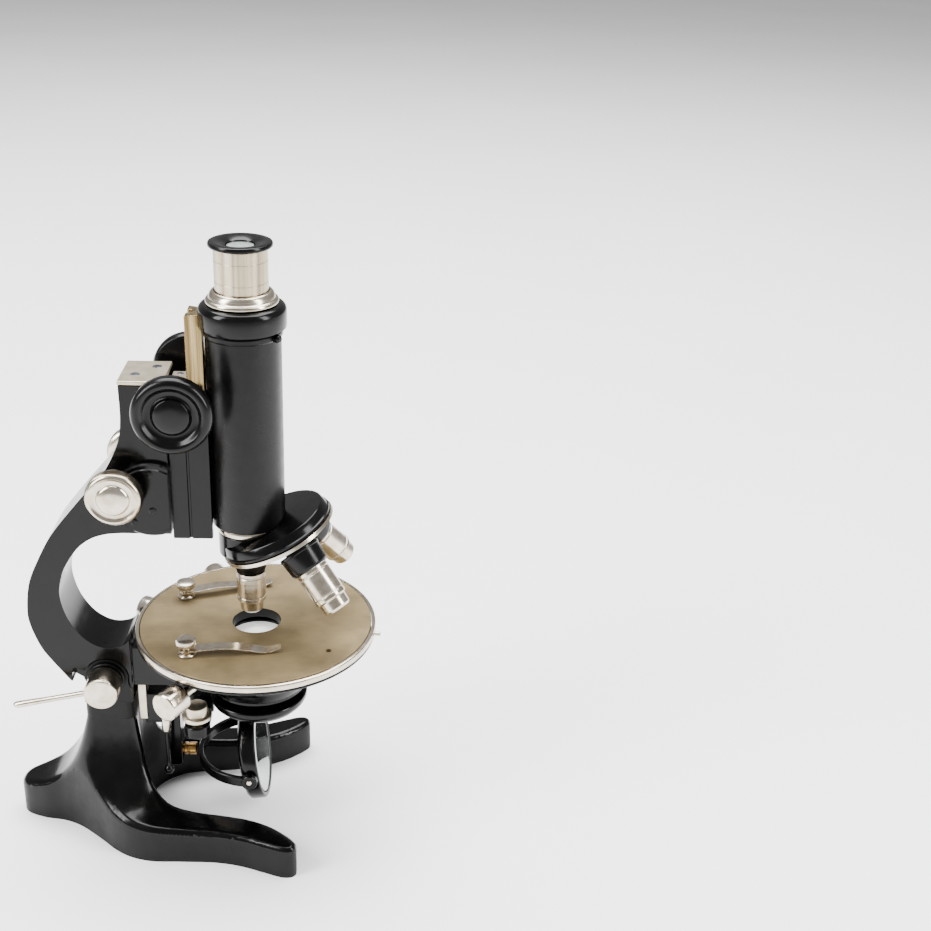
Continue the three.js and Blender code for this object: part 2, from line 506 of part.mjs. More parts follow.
// ---------------------------------------------------------------- substage and condenser
const KNOB = { x: -27.5, y: -21 };                // raises and lowers the condenser
add(microscope, 'substage_rail', box(-59.6, -55.2, -8, 8, 62, 83.6), NICKEL());

function condenserMount() {
  const slide = box(-54.9, -43, -10, 10, 62, 79);
  const arm = box(-44, -20, -7, 7, 64, 77);
  const lug = join(rod(6.5, 63, 69.3, 24).translate(KNOB.x, KNOB.y, 0), box(-33, -22, -21, -5, 63, 69.3));
  const cup = turned([[0, 67.2], [17, 67.2], [23.6, 71.4], [25.4, 74.6], [25.4, 77], [0, 77]], 40);
  const bore = turned([[0, 60], [12, 60], [12, 69], [CONDENSER.body + GAP, 69], [CONDENSER.body + GAP, 90], [0, 90]], 40);
  return cut(join(slide, arm, lug, cup.translate(STAGE.x, 0, 0)), bore.translate(STAGE.x, 0, 0));
}

add(microscope, 'condenser_mount', condenserMount(), ENAMEL());
const condenserProfile = [[14, CONDENSER.bottom], [CONDENSER.body, CONDENSER.bottom], [CONDENSER.body, 97], [17.2, 106.5],
  [16.4, CONDENSER.top], [15.4, CONDENSER.top], [15.4, 107.4], [14, 106]];
add(stage, 'condenser', turned(condenserProfile, 40, true), EBONITE());
add(stage, 'condenser_lens', turned([[0, 107.2], [15, 107.9], [15, 108.6], [0, 109.9]], 32), GLASS());
const knobProfile = [[0, 69.6], [3, 69.6], [3, 72.4], [7.6, 72.6], [7.6, 75], [5.5, 75.4], [5.5, 79.6], [4.9, 80.2], [0, 80.2]];
const substageKnob = turned(knobProfile, 28);
add(microscope, 'substage_knob', substageKnob.translate(KNOB.x, KNOB.y, 0), NICKEL());
const clampStem = [[0, 31], [2, 31.7], [2.7, 33.4], [2, 35.2], [1.2, 36], [1.2, 58], [2.4, 59], [2.4, 67], [0, 67]];
add(microscope, 'substage_lever', turned(clampStem, 16).translate(-45, -12.8, 0), NICKEL());

// ---------------------------------------------------------------- tailpiece and mirror
const tail = join(box(-57, -39, -6, 6, 57.5, 61.7), box(-47, -39, -5, 5, 30, 60));
const pinBore = rod(2.5, -60, 0, 20).rotateY(Math.PI / 2).translate(0, 0, MIRROR.z);
add(microscope, 'tailpiece', cut(tail, pinBore), ENAMEL());

const mirror = new THREE.Group();
mirror.position.set(MIRROR.x, 0, MIRROR.z);
microscope.add(mirror);
const pinProfile = [[0, -47], [2.2, -47], [2.2, -37.5], [3.3, -37.4], [3.3, -35.6], [2.8, -35.4], [2.8, -34.9], [3.3, -34.7],
  [3.3, -31], [0, -31]];
add(mirror, 'mirror_pin', turned(pinProfile, 20).rotateY(Math.PI / 2), BRASS());

function mirrorFork() {
  const half = new THREE.Shape();
  half.absarc(0, 0, MIRROR.fork + 1.4, Math.PI / 2, 1.5 * Math.PI);
  half.absarc(0, 0, MIRROR.fork - 1.2, 1.5 * Math.PI, Math.PI / 2, true);
  const boss = (y0, y1) => rodY(4.2, y0, y1, 24);
  return cut(join(planCut(half, -3, 3, 20), boss(-30.4, -27.2), boss(27.2, 30.4)), rodY(1.7, -40, 40, 16));
}

add(mirror, 'mirror_fork', mirrorFork(), ENAMEL());
const cellProfile = [[0, -5], [21.6, -5], [24.6, -4], [26.2, -2.6], [26.2, 3.6], [25.4, 4.6], [23.6, 4.6], [23.2, 2.6], [0, 2.6]];
const cell = cut(turned(cellProfile, 40).rotateY(Math.PI / 2), rodY(1.7, -40, -23.6, 16), rodY(1.7, 23.6, 40, 16));
add(mirror, 'mirror_cell', cell.rotateY(-MIRROR.lean), ENAMEL());
const glass = turned([[0, 2.9], [22.8, 2.9], [22.8, 4.2], [12, 3.6], [0, 3.4]], 36);
add(mirror, 'mirror_glass', glass.rotateY(Math.PI / 2 - MIRROR.lean), SILVERED());

// ---------------------------------------------------------------- place the origin under the middle
microscope.updateMatrixWorld(true);
const extent = new THREE.Box3().setFromObject(microscope, true);
const middle = extent.getCenter(new THREE.Vector3());
microscope.position.set(-middle.x, -middle.y, -extent.min.z);

export default microscope;
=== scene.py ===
# %% [markdown]
# # A black and nickel compound microscope
# The stand is a casting of enamelled iron with nickel-plated brass fittings. Its solids are loaded
# as a fixed frame. Every cell below makes one piece, or one finish, over that frame.

# %% Load the frame
import json
import math

import bmesh
import bpy
import numpy as np
from mathutils import Matrix, Vector
from mathutils.geometry import delaunay_2d_cdt


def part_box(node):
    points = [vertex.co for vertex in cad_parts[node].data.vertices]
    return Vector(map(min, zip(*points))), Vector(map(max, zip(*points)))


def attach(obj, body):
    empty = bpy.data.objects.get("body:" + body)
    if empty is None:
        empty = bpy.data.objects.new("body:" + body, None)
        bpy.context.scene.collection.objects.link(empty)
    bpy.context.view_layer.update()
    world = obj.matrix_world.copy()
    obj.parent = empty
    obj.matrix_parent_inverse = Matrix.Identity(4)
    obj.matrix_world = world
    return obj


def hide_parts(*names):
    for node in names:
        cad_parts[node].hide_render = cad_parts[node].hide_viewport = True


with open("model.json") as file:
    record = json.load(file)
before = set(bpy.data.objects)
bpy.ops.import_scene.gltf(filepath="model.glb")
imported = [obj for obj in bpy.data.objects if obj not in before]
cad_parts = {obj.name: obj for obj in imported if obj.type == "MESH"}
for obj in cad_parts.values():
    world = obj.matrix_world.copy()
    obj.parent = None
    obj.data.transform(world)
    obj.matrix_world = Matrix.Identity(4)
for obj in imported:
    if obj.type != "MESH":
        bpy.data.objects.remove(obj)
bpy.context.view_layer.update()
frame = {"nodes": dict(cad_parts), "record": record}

# %% [markdown]
# Most of a microscope stands on one line, the optical axis. All lengths below are millimetres from
# the point where that axis meets the table. The draw tube's box says where the axis is.

# %% Millimetres from the optical axis
MM = 0.001
low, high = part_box("draw_tube")
AXIS = Vector(((low.x + high.x) / 2, (low.y + high.y) / 2, 0))


def at(x, y, z):
    return AXIS + Vector((x, y, z)) * MM


def aimed(x, y, z, direction=(0, 0, 1)):
    """A matrix that stands a piece made along +Z at a point, turned to a direction."""
    turn = Vector(direction).to_track_quat("Z", "Y").to_matrix().to_4x4()
    return Matrix.Translation(at(x, y, z)) @ turn


# Places that several pieces share.
ALONG_X = (1, 0, 0)
ALONG_Y = (0, 1, 0)
FINE_AXIS = (-59.7, 0, 200.5)
COARSE_AXIS = (-29.8, 0, 244.8)
MIRROR_CENTRE = (-1, 0, 37.6)
CLIP_POSTS = {"near": (-28.72, -33.51, 5.5), "far": (-37.17, 23.01, 17.6)}
SUBSTAGE_KNOB = (-27.5, -21, 0)
print("axis", AXIS)

# %% [markdown]
# One helper adds a node, sets its numbers and links its inputs. Colours are written as sRGB hex and
# turned to linear light, which is what the shader works in.

# %% Node and colour helpers
def linear(text):
    parts = [int(text[i:i + 2], 16) / 255 for i in (1, 3, 5)]
    return [p / 12.92 if p < 0.04045 else ((p + 0.055) / 1.055) ** 2.4 for p in parts] + [1]


def add_node(material, kind, inputs=None, **settings):
    node = material.node_tree.nodes.new("ShaderNode" + kind)
    for key, value in settings.items():
        setattr(node, key, value)
    for key, value in (inputs or {}).items():
        if isinstance(value, bpy.types.NodeSocket):
            material.node_tree.links.new(value, node.inputs[key])
        else:
            node.inputs[key].default_value = value
    return node


def ramp(material, factor, stops):
    """A colour ramp over 2 or more (position, colour) stops."""
    node = add_node(material, "ValToRGB", {"Fac": factor})
    while len(node.color_ramp.elements) < len(stops):
        node.color_ramp.elements.new(0.5)
    for element, (position, colour) in zip(node.color_ramp.elements, stops):
        element.position = position
        element.color = linear(colour)
    return node.outputs["Color"]


def spread(material, factor, low_value, high_value, start=0.3, end=0.7):
    """A noise's middle range spread between two values."""
    node = add_node(material, "MapRange", {"Value": factor, "From Min": start, "From Max": end,
                                           "To Min": low_value, "To Max": high_value})
    return node.outputs["Result"]


def new_material(name):
    material = bpy.data.materials.new(name)
    material.use_nodes = True
    return material, material.node_tree.nodes["Principled BSDF"]


def millimetres(material):
    """Object coordinates counted in millimetres."""
    place = add_node(material, "TexCoord").outputs["Object"]
    return add_node(material, "Mapping", {"Vector": place, "Scale": (1000, 1000, 1000)}).outputs["Vector"]


def noise(material, vector, size, detail=2.0):
    """Noise whose features are about `size` millimetres across."""
    return add_node(material, "TexNoise", {"Vector": vector, "Scale": 1 / size,
                                           "Detail": detail}).outputs["Fac"]


def bump(material, shader, height, depth, strength=1.0):
    """Relief of a depth in millimetres."""
    node = add_node(material, "Bump", {"Height": height, "Distance": depth * MM, "Strength": strength})
    material.node_tree.links.new(node.outputs["Normal"], shader.inputs["Normal"])


def link(material, output, socket):
    material.node_tree.links.new(output, socket)


# %% [markdown]
# Stoved enamel: black lacquer baked on iron. It dries with a faint waviness, about 2 mm across, and
# picks up hair scratches and dust that dull the shine a little.

# %% Enamel finishes
def enamel(name, base, worn, smooth, dull, wave):
    material, shader = new_material(name)
    shader.inputs["Specular IOR Level"].default_value = 0.2
    mm = millimetres(material)
    grime = noise(material, mm, 7, 4)
    link(material, ramp(material, grime, [(0.35, base), (0.75, worn)]), shader.inputs["Base Color"])
    link(material, spread(material, noise(material, mm, 5, 5), smooth, dull), shader.inputs["Roughness"])
    bump(material, shader, noise(material, mm, 1.8, 2), wave, 0.6)
    return material


GLOSS_ENAMEL = enamel("stoved_enamel", "#030303", "#080808", 0.12, 0.22, 0.01)
SATIN_ENAMEL = enamel("satin_enamel", "#030303", "#080809", 0.26, 0.36, 0.01)
EBONITE = enamel("ebonite", "#030303", "#090808", 0.17, 0.28, 0.005)
print("enamels", GLOSS_ENAMEL.name, SATIN_ENAMEL.name, EBONITE.name)

# %% [markdown]
# The foot is glossy where a hand polishes it and duller on its upright sides, where the casting was
# only dressed. The surface normal tells the two apart.

# %% Foot enamel
def foot_enamel():
    material, shader = new_material("foot_enamel")
    shader.inputs["Specular IOR Level"].default_value = 0.2
    mm = millimetres(material)
    normal = add_node(material, "NewGeometry").outputs["Normal"]
    upward = add_node(material, "SeparateXYZ", {"Vector": normal}).outputs["Z"]
    side = add_node(material, "MapRange", {"Value": upward, "From Min": 0.0, "From Max": 0.22,
                                           "To Min": 0.3, "To Max": 0.0}).outputs["Result"]
    gloss = spread(material, noise(material, mm, 6, 5), 0.12, 0.22)
    total = add_node(material, "Math", {0: side, 1: gloss}, operation="ADD").outputs["Value"]
    link(material, total, shader.inputs["Roughness"])
    link(material, ramp(material, noise(material, mm, 9, 4), [(0.35, "#030303"), (0.8, "#080808")]),
         shader.inputs["Base Color"])
    bump(material, shader, noise(material, mm, 2.6, 2), 0.02, 0.6)
    return material


FOOT_ENAMEL = foot_enamel()

# %% [markdown]
# Nickel plate over turned brass is warmer than chrome. A turned piece keeps fine rings from the
# lathe, so each one carries its own radius and height in an attribute for the rings to follow.

# %% Metals
def metal(name, base, tarnish, smooth, dull, ring=0.35, depth=0.004):
    material, shader = new_material(name)
    shader.inputs["Metallic"].default_value = 1.0
    mm = millimetres(material)
    cloud = noise(material, mm, 6, 5)
    link(material, ramp(material, cloud, [(0.36, base), (0.74, tarnish)]), shader.inputs["Base Color"])
    lathe = add_node(material, "Attribute", attribute_name="lathe").outputs["Vector"]
    rings = noise(material, lathe, ring, 3)
    link(material, spread(material, rings, smooth, dull), shader.inputs["Roughness"])
    bump(material, shader, rings, depth, 0.8)
    return material


NICKEL = metal("nickel_plate", "#d8cfc0", "#b9ab94", 0.14, 0.28)
DULL_NICKEL = metal("worn_nickel", "#d6ccb8", "#c0b195", 0.3, 0.42)
STEEL = metal("blued_steel", "#6d6e72", "#4e4f54", 0.28, 0.4)
BRASS = metal("brass", "#b08b4f", "#7d5f33", 0.25, 0.4)
print("metals", NICKEL.name, DULL_NICKEL.name, STEEL.name, BRASS.name)

# %% [markdown]
# The dovetail bar has lost most of its plating: it is warm, and rubbed into upright streaks a few tenths of
# a millimetre wide by the guide it slides in. Its colour also carries painted reflections: broader upright
# bands of light and dark, a few millimetres wide. The draw tube is streaked the same way, painted
# reflections included.

# %% Rubbed slide metal
def streaked_sheen_metal(name, stops, width):
    material, shader = new_material(name)
    shader.inputs["Metallic"].default_value = 1.0
    mm = millimetres(material)
    drawn = add_node(material, "Mapping", {"Vector": mm, "Scale": (1, 1, 0.02)}).outputs["Vector"]
    # Painted reflection: broad upright bands of light and dark colour, stretched along Z, stand in for the
    # sheen of the metal.
    broad = noise(material, drawn, width, 3)
    fine = noise(material, drawn, 0.35, 2)
    link(material, ramp(material, broad, stops), shader.inputs["Base Color"])
    link(material, spread(material, fine, 0.2, 0.36), shader.inputs["Roughness"])
    bump(material, shader, fine, 0.004, 0.8)
    return material


# Both finishes carry painted reflections in their colour as well as rubbed wear.
RUBBED_WITH_SHEEN = streaked_sheen_metal("rubbed_slide_painted_sheen", [(0.3, "#5c4a30"), (0.5, "#8f7a52"), (0.72, "#b5a27a")], 2.4)
STREAKED_SHEEN = streaked_sheen_metal("streaked_nickel_painted_sheen", [(0.32, "#8c7f70"), (0.48, "#b8a98f"), (0.66, "#d8ccb4")], 3.2)

# %% [markdown]
# The stage is brass, chemically browned. Slides have rubbed its middle slightly paler, which this finish
# does not show. It is mottled and speckled, and a few hair scratches cross it.

# %% Bronzed stage
def bronzed():
    material, shader = new_material("bronzed_brass")
    shader.inputs["Metallic"].default_value = 0.55
    mm = millimetres(material)
    cloud = ramp(material, noise(material, mm, 16, 6), [(0.3, "#6c5e42"), (0.7, "#897856")])
    speck = add_node(material, "TexVoronoi", {"Vector": mm, "Scale": 0.8}).outputs["Distance"]
    spots = add_node(material, "MapRange", {"Value": speck, "From Min": 0.0, "From Max": 0.12,
                                            "To Min": 0.55, "To Max": 0.0}).outputs["Result"]
    mixed = add_node(material, "Mix", {"Factor": spots, 6: cloud, 7: linear("#4b402a")}, data_type="RGBA")
    link(material, mixed.outputs[2], shader.inputs["Base Color"])
    drawn = add_node(material, "Mapping", {"Vector": mm, "Scale": (0.06, 1.6, 1), "Rotation": (0, 0, 0.4)})
    hair = noise(material, drawn.outputs["Vector"], 1.0, 5)
    link(material, spread(material, hair, 0.42, 0.56), shader.inputs["Roughness"])
    bump(material, shader, noise(material, mm, 0.5, 3), 0.006, 0.7)
    return material


BRONZED = bronzed()

# %% [markdown]
# Lenses are small polished discs. Deep inside a black mount they read as dark glass with a bright
# reflection. The condenser's ground top is white glass with a painted glow: it gives off light of its own,
# in place of the mirror's light from below.

# %% Glass finishes
def glass(name, tint, rough, transmission, dust):
    material, shader = new_material(name)
    shader.inputs["IOR"].default_value = 1.52
    shader.inputs["Transmission Weight"].default_value = transmission
    mm = millimetres(material)
    link(material, ramp(material, noise(material, mm, 2.2, 4), [(0.3, tint), (0.8, dust)]),
         shader.inputs["Base Color"])
    link(material, spread(material, noise(material, mm, 1.2, 3), rough, rough + 0.08),
         shader.inputs["Roughness"])
    return material


LENS = glass("crown_glass", "#aeb6b4", 0.02, 0.35, "#8d9693")
GLOWING_GROUND_GLASS = glass("ground_glass_painted_glow", "#f4f4f0", 0.5, 0.0, "#e6e6e0")
# Painted glow: the white ground glass emits light itself, standing in for the mirror's light coming up
# through it.
GLOWING_GROUND_GLASS.node_tree.nodes["Principled BSDF"].inputs["Emission Color"].default_value = linear("#ffffff")
GLOWING_GROUND_GLASS.node_tree.nodes["Principled BSDF"].inputs["Emission Strength"].default_value = 0.6
MIRROR_GLASS = metal("silvered_glass", "#dfe3e4", "#c9cfd0", 0.02, 0.07, ring=5, depth=0.001)

# %% [markdown]
# Parts that keep their plain solid take the finish named in the record.

# %% Finishes for plain solids
FINISH = {"enamel": GLOSS_ENAMEL, "nickel": NICKEL, "bronzed_brass": BRONZED, "brass": BRASS,
          "steel": STEEL,
          "ebonite": EBONITE, "glass": LENS, "silvered_glass": MIRROR_GLASS}
for entry in frame["record"]["subparts"]:
    solid = frame["nodes"][entry["node"]]
    solid.data.materials.clear()
    solid.data.materials.append(FINISH[entry["material_slot"]])
BODY = {node: body for body, nodes in frame["record"]["behaviour"]["bodies"].items() for node in nodes}

# %% [markdown]
# A piece is finished the same way each time: its mesh becomes an object at the origin, it rides on
# the body of the solid it stands for, and a small bevel catches the light along its edges.

# %% Finish a piece
def piece(mesh, name, material, node=None, rides=None, bevel=0.25, segments=2):
    data = bpy.data.meshes.new(name)
    mesh.to_mesh(data)
    mesh.free()
    data.materials.append(material)
    data.shade_smooth()
    item = bpy.data.objects.new(name, data)
    bpy.context.collection.objects.link(item)
    if bevel:
        edge = item.modifiers.new("edge", "BEVEL")
        edge.width = bevel * MM
        edge.segments = segments
        edge.limit_method = "ANGLE"
        edge.angle_limit = math.radians(32)
        edge.harden_normals = True
    else:
        data.set_sharp_from_angle(angle=math.radians(38))
    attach(item, rides or BODY[node])
    if node:
        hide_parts(node)
    return item


# %% [markdown]
# Nearly every fitting was turned on a lathe, and spinning a half section makes the same shape. The
# section is a list of (radius, height). Milled edges are cut by drawing in every other column.

# %% Turned pieces
def turned(section, steps=96, milled=()):
    mesh = bmesh.new()
    points = [mesh.verts.new((r * MM, 0, z * MM)) for r, z in section]
    edges = [mesh.edges.new(pair) for pair in zip(points, points[1:])]
    if section[0][0] > 0:
        edges.append(mesh.edges.new((points[-1], points[0])))
    bmesh.ops.spin(mesh, geom=points + edges, cent=(0, 0, 0), axis=(0, 0, 1), angle=math.tau, steps=steps,
                   use_merge=True)
    bmesh.ops.remove_doubles(mesh, verts=mesh.verts, dist=1e-6)
    bmesh.ops.dissolve_degenerate(mesh, edges=mesh.edges, dist=1e-7)
    bmesh.ops.recalc_face_normals(mesh, faces=mesh.faces)
    lathe = mesh.verts.layers.float_vector.new("lathe")
    for v in mesh.verts:
        radius = math.hypot(v.co.x, v.co.y)
        v[lathe] = (radius / MM, v.co.z / MM, 0)
        column = round(math.atan2(v.co.y, v.co.x) / math.tau * steps)
        for bottom, top, depth in milled:
            if bottom <= v.co.z / MM <= top and column % 2 and radius > 0:
                v.co.xy *= 1 - depth * MM / radius
    return mesh


def fit(mesh, matrix):
    bmesh.ops.transform(mesh, matrix=matrix, verts=mesh.verts)
    return mesh


def mirrored_y(section, side):
    return [(r, side * y) for r, y in section]


# %% [markdown]
# Castings and plates start as a flat outline that is extruded. A smooth outline runs a
# Catmull-Rom curve through a few points taken along the real edge.

# %% Outlines and prisms
def smooth(points, per=10, closed=False):
    """Points along a Catmull-Rom curve through the given ones."""
    p = [np.array(q, float) for q in points]
    n = len(p)
    out = []
    for i in range(n if closed else n - 1):
        a, b, c, d = (p[j % n] if closed else p[min(max(j, 0), n - 1)] for j in (i - 1, i, i + 1, i + 2))
        for k in range(per):
            t = k / per
            out.append(tuple(0.5 * (2 * b + (c - a) * t + (2 * a - 5 * b + 4 * c - d) * t * t
                                    + (3 * b - a - 3 * c + d) * t ** 3)))
    if not closed:
        out.append(tuple(p[-1]))
    return out


def arc(cx, cz, r, start, end, steps):
    return [(cx + r * math.cos(math.radians(start + (end - start) * k / steps)),
             cz + r * math.sin(math.radians(start + (end - start) * k / steps))) for k in range(steps + 1)]


def prism(outline, low_value, high_value, mesh=None, upright=True):
    """An outline in X-Z given a width along Y, or in X-Y given a height along Z."""
    mesh = mesh or bmesh.new()
    if upright:
        corners = [mesh.verts.new(at(u, low_value, v)) for u, v in outline]
        push = Vector((0, high_value - low_value, 0)) * MM
    else:
        corners = [mesh.verts.new(at(u, v, low_value)) for u, v in outline]
        push = Vector((0, 0, high_value - low_value)) * MM
    face = mesh.faces.new(corners)
    moved = bmesh.ops.extrude_face_region(mesh, geom=[face], use_keep_orig=True)["geom"]
    bmesh.ops.translate(mesh, verts=[g for g in moved if isinstance(g, bmesh.types.BMVert)], vec=push)
    bmesh.ops.recalc_face_normals(mesh, faces=mesh.faces)
    return mesh


def cut(item, cutter):
    """Cut a mesh away from a piece and keep the result as the piece's own mesh."""
    data = bpy.data.meshes.new("cutter")
    cutter.to_mesh(data)
    cutter.free()
    tool = bpy.data.objects.new("cutter", data)
    bpy.context.collection.objects.link(tool)
    boolean = item.modifiers.new("cut", "BOOLEAN")
    boolean.object = tool
    boolean.solver = "EXACT"
    item.modifiers.move(len(item.modifiers) - 1, 0)
    kept = [m.show_viewport for m in item.modifiers]
    for modifier in item.modifiers[1:]:
        modifier.show_viewport = False
    graph = bpy.context.evaluated_depsgraph_get()
    result = bpy.data.meshes.new_from_object(item.evaluated_get(graph))
    for modifier, shown in zip(item.modifiers, kept):
        modifier.show_viewport = shown
    item.modifiers.remove(item.modifiers[0])
    item.data = result
    bpy.data.objects.remove(tool)
    return item


# %% [markdown]
# ## Foot and pillar
# The foot is one iron casting: two toes, a heel, and a pillar that flares out of them. Its plan is
# filled with a fine net of points, and each point is then raised to the height of the real surface
# there. Near the rim the surface rolls over in a quarter circle.

# %% Foot outline
PIVOT = (-73.5, 91.5)           # the inclination axis, in X and Z
PILLAR_X, PILLAR_Y = 8.5, 10    # half the pillar's flat sides
PILLAR_ROUND = 4                # radius of its corners
TOE_HEIGHT = 18.5                # height of the toes
FLARE = 48                      # how much higher the casting stands against the pillar
FLARE_REACH = 11                # how fast that falls away
HALF_FOOT = [(-123, 7), (-113, 11.6), (-103, 13.6), (-94, 17.5), (-86, 23.5), (-78, 30.5), (-70, 37.8),
             (-61, 43.3),
             (-50, 46.2), (-35, 46.6), (-18, 47.2), (-4, 50), (8, 54.6), (18, 58.3), (23.6, 57.5),
             (25, 52.5),
             (20, 46.2), (10, 38.6), (-2, 33.4), (-16, 30.6), (-30, 29.2), (-43, 27), (-53, 20.5),
             (-59, 11)]
loop = [(-126.2, 0)] + HALF_FOOT + [(-61.5, 0)] + [(x, -y) for x, y in reversed(HALF_FOOT)]
rim = np.array(smooth(loop, 8, closed=True))
rim[:, 0] = np.clip(rim[:, 0], -126.1, 24.95)
print("foot outline", len(rim), "points")


# %% Foot surface
def pillar_distance(x, y):
    """How far a point lies outside the pillar's rounded rectangle."""
    dx, dy = np.abs(x - PIVOT[0]) - PILLAR_X, np.abs(y) - PILLAR_Y
    outside = np.hypot(np.maximum(dx, 0), np.maximum(dy, 0)) + np.minimum(np.maximum(dx, dy), 0)
    return np.maximum(outside - PILLAR_ROUND, 0)


def rim_distance(x, y):
    """How far a point lies from the foot's outline."""
    a, b = rim, np.roll(rim, -1, axis=0)
    best = np.full(x.shape, 1e9)
    for (ax, ay), (bx, by) in zip(a, b):
        ex, ey = bx - ax, by - ay
        t = np.clip(((x - ax) * ex + (y - ay) * ey) / (ex * ex + ey * ey), 0, 1)
        best = np.minimum(best, np.hypot(x - ax - t * ex, y - ay - t * ey))
    return best


def foot_height(x, y):
    base = TOE_HEIGHT + FLARE * np.exp(-pillar_distance(x, y) / FLARE_REACH)
    roll = 3.4
    inset = np.minimum(rim_distance(x, y), roll)
    return base - roll + np.sqrt(np.maximum(roll ** 2 - (roll - inset) ** 2, 0))


def foot_net():
    """Points inside the outline: a grid, rows just inside the rim and rows round the pillar."""
    gx, gy = np.meshgrid(np.arange(-126, 25, 2.0), np.arange(-58, 59, 2.0))
    points = [(gx.ravel(), gy.ravel())]
    tangent = np.roll(rim, -1, axis=0) - np.roll(rim, 1, axis=0)
    normal = np.stack([-tangent[:, 1], tangent[:, 0]], 1) / np.linalg.norm(tangent, axis=1)[:, None]
    area = np.sum(rim[:, 0] * np.roll(rim[:, 1], -1) - np.roll(rim[:, 0], -1) * rim[:, 1])
    inward = normal if area > 0 else -normal
    for inset in (0.25, 0.8, 1.6, 2.5, 3.4):
        row = rim + inward * inset
        points.append((row[:, 0], row[:, 1]))
    for d in (0.05, 0.7, 1.5, 2.5, 3.7, 5.2, 7, 9.2, 12, 15.5, 20):
        angles = np.linspace(0, math.tau, 96, endpoint=False)
        points.append((PIVOT[0] + PILLAR_X * np.sign(np.cos(angles)) * (np.abs(np.cos(angles)) > 1e-9)
                       + (PILLAR_ROUND + d) * np.cos(angles),
                       PILLAR_Y * np.sign(np.sin(angles)) + (PILLAR_ROUND + d) * np.sin(angles)))
    x = np.concatenate([p[0] for p in points])
    y = np.concatenate([p[1] for p in points])
    inside = np.zeros(x.shape, bool)
    for (ax, ay), (bx, by) in zip(rim, np.roll(rim, -1, axis=0)):
        crosses = (ay > y) != (by > y)
        inside ^= crosses & (x < (bx - ax) * (y - ay) / (by - ay if by != ay else 1e-9) + ax)
    keep = inside & (rim_distance(x, y) > 0.2)
    return x[keep], y[keep]


# %% [markdown]
# The net is triangulated inside the outline, raised, and its edge is drawn down to the table. The
# pillar with its two round-topped cheeks stands in the middle of it.

# %% Foot and pillar mesh
def foot_mesh():
    x, y = foot_net()
    flat = [Vector(p) for p in rim] + [Vector(p) for p in zip(x, y)]
    result = delaunay_2d_cdt(flat, [], [list(range(len(rim)))], 1, 1e-4)
    vx = np.array([v.x for v in result[0]])
    vy = np.array([v.y for v in result[0]])
    heights = foot_height(vx, vy)
    mesh = bmesh.new()
    corners = [mesh.verts.new(at(a, b, h)) for a, b, h in zip(vx, vy, heights)]
    for face in result[2]:
        mesh.faces.new([corners[i] for i in face])
    bmesh.ops.recalc_face_normals(mesh, faces=mesh.faces)
    border = [e for e in mesh.edges if e.is_boundary]
    walls = bmesh.ops.extrude_edge_only(mesh, edges=border)["geom"]
    for v in [g for g in walls if isinstance(g, bmesh.types.BMVert)]:
        v.co.z = 0.0
    bmesh.ops.contextual_create(mesh, geom=[e for e in mesh.edges if e.is_boundary])
    bmesh.ops.recalc_face_normals(mesh, faces=mesh.faces)
    return mesh


def pillar_mesh(mesh):
    corners = [(PILLAR_X, PILLAR_Y, 0), (-PILLAR_X, PILLAR_Y, 90), (-PILLAR_X, -PILLAR_Y, 180),
               (PILLAR_X, -PILLAR_Y, 270)]
    plan = [p for dx, dy, start in corners for p in arc(PIVOT[0] + dx, dy, PILLAR_ROUND, start, start + 90,
                                                        6)]
    prism(plan, 10, 77, mesh, upright=False)
    cheek = [(-85.6, 76.5), (-61.4, 76.5), (-61.4, 83)] + arc(*PIVOT, 10.8, -14, 194, 40) + [(-85.6, 83)]
    for y0, y1 in ((-13.96, -9.5), (9.5, 13.96)):
        prism(cheek, y0, y1, mesh)
    return mesh


foot = piece(pillar_mesh(foot_mesh()), "foot", FOOT_ENAMEL, node="foot_pillar", bevel=0.7, segments=3)
for y0, y1 in ((-15.5, -13.5), (13.5, 16)):
    boss = turned([(3.4, y0), (9.4, y0), (9.4, y1), (3.4, y1)], 72)
    piece(fit(boss, aimed(PIVOT[0], 0, PIVOT[1]) @ Matrix.Rotation(-math.pi / 2, 4, "X")),
          "pillar_boss_near" if y0 < 0 else "pillar_boss_far", GLOSS_ENAMEL, rides="foot",
          bevel=0.5)
print("foot", len(foot.data.polygons), "faces")

# %% [markdown]
# ## Limb
# The limb is a C-shaped casting. Near the inclination joint it narrows to a tail that fits between
# the pillar's cheeks, so it is made as a wide part with a round relief and a narrow tail.

# %% Limb casting
outer = [(-57, 252)] + smooth([(-57, 250), (-57, 235), (-59, 223), (-65.8, 208.8), (-73.6, 199.2),
                               (-82, 189.3),
                               (-94.3, 173.5), (-102, 159.5), (-107.6, 146), (-109.8, 131), (-109, 122),
                               (-105.4, 110.7), (-101.1, 103), (-91.5, 89.4)], 8)
inner = smooth([(-60.9, 113.8), (-63.6, 111), (-68, 109.3), (-73.5, 109.3), (-79, 111.6), (-85, 117),
                (-90.6, 127), (-93.2, 140),
                (-91, 151.5), (-87.4, 158.9), (-82, 166.5), (-75.5, 171.6), (-68, 174.2), (-60, 175)], 8)
inner += [(-57, 175), (-36.2, 175), (-36.2, 252)]
heel = arc(*PIVOT, 17.3, 187, 160, 8) + arc(*PIVOT, 11.4, 160, -10, 54)
wide = outer + heel + [(-61.3, 84.4), (-60.9, 84.4)] + inner
tail = arc(*PIVOT, 13.2, 192, 323, 30) + [(-61.2, 84.8), (-61.2, 109), (-70, 108.8), (-77.5, 110.4),
                                          (-84, 114), (-96, 106), (-93, 93)]
casting = prism(wide, -13.9, 13.9)
prism(tail, -9.1, 9.1, casting)
limb = piece(casting, "limb_casting", GLOSS_ENAMEL, node="limb", bevel=0.5, segments=3)
print("limb", len(limb.data.polygons), "faces")


# %% [markdown]
# Small cheese-head screws hold the plates and covers. Each has a domed head and a real slot.

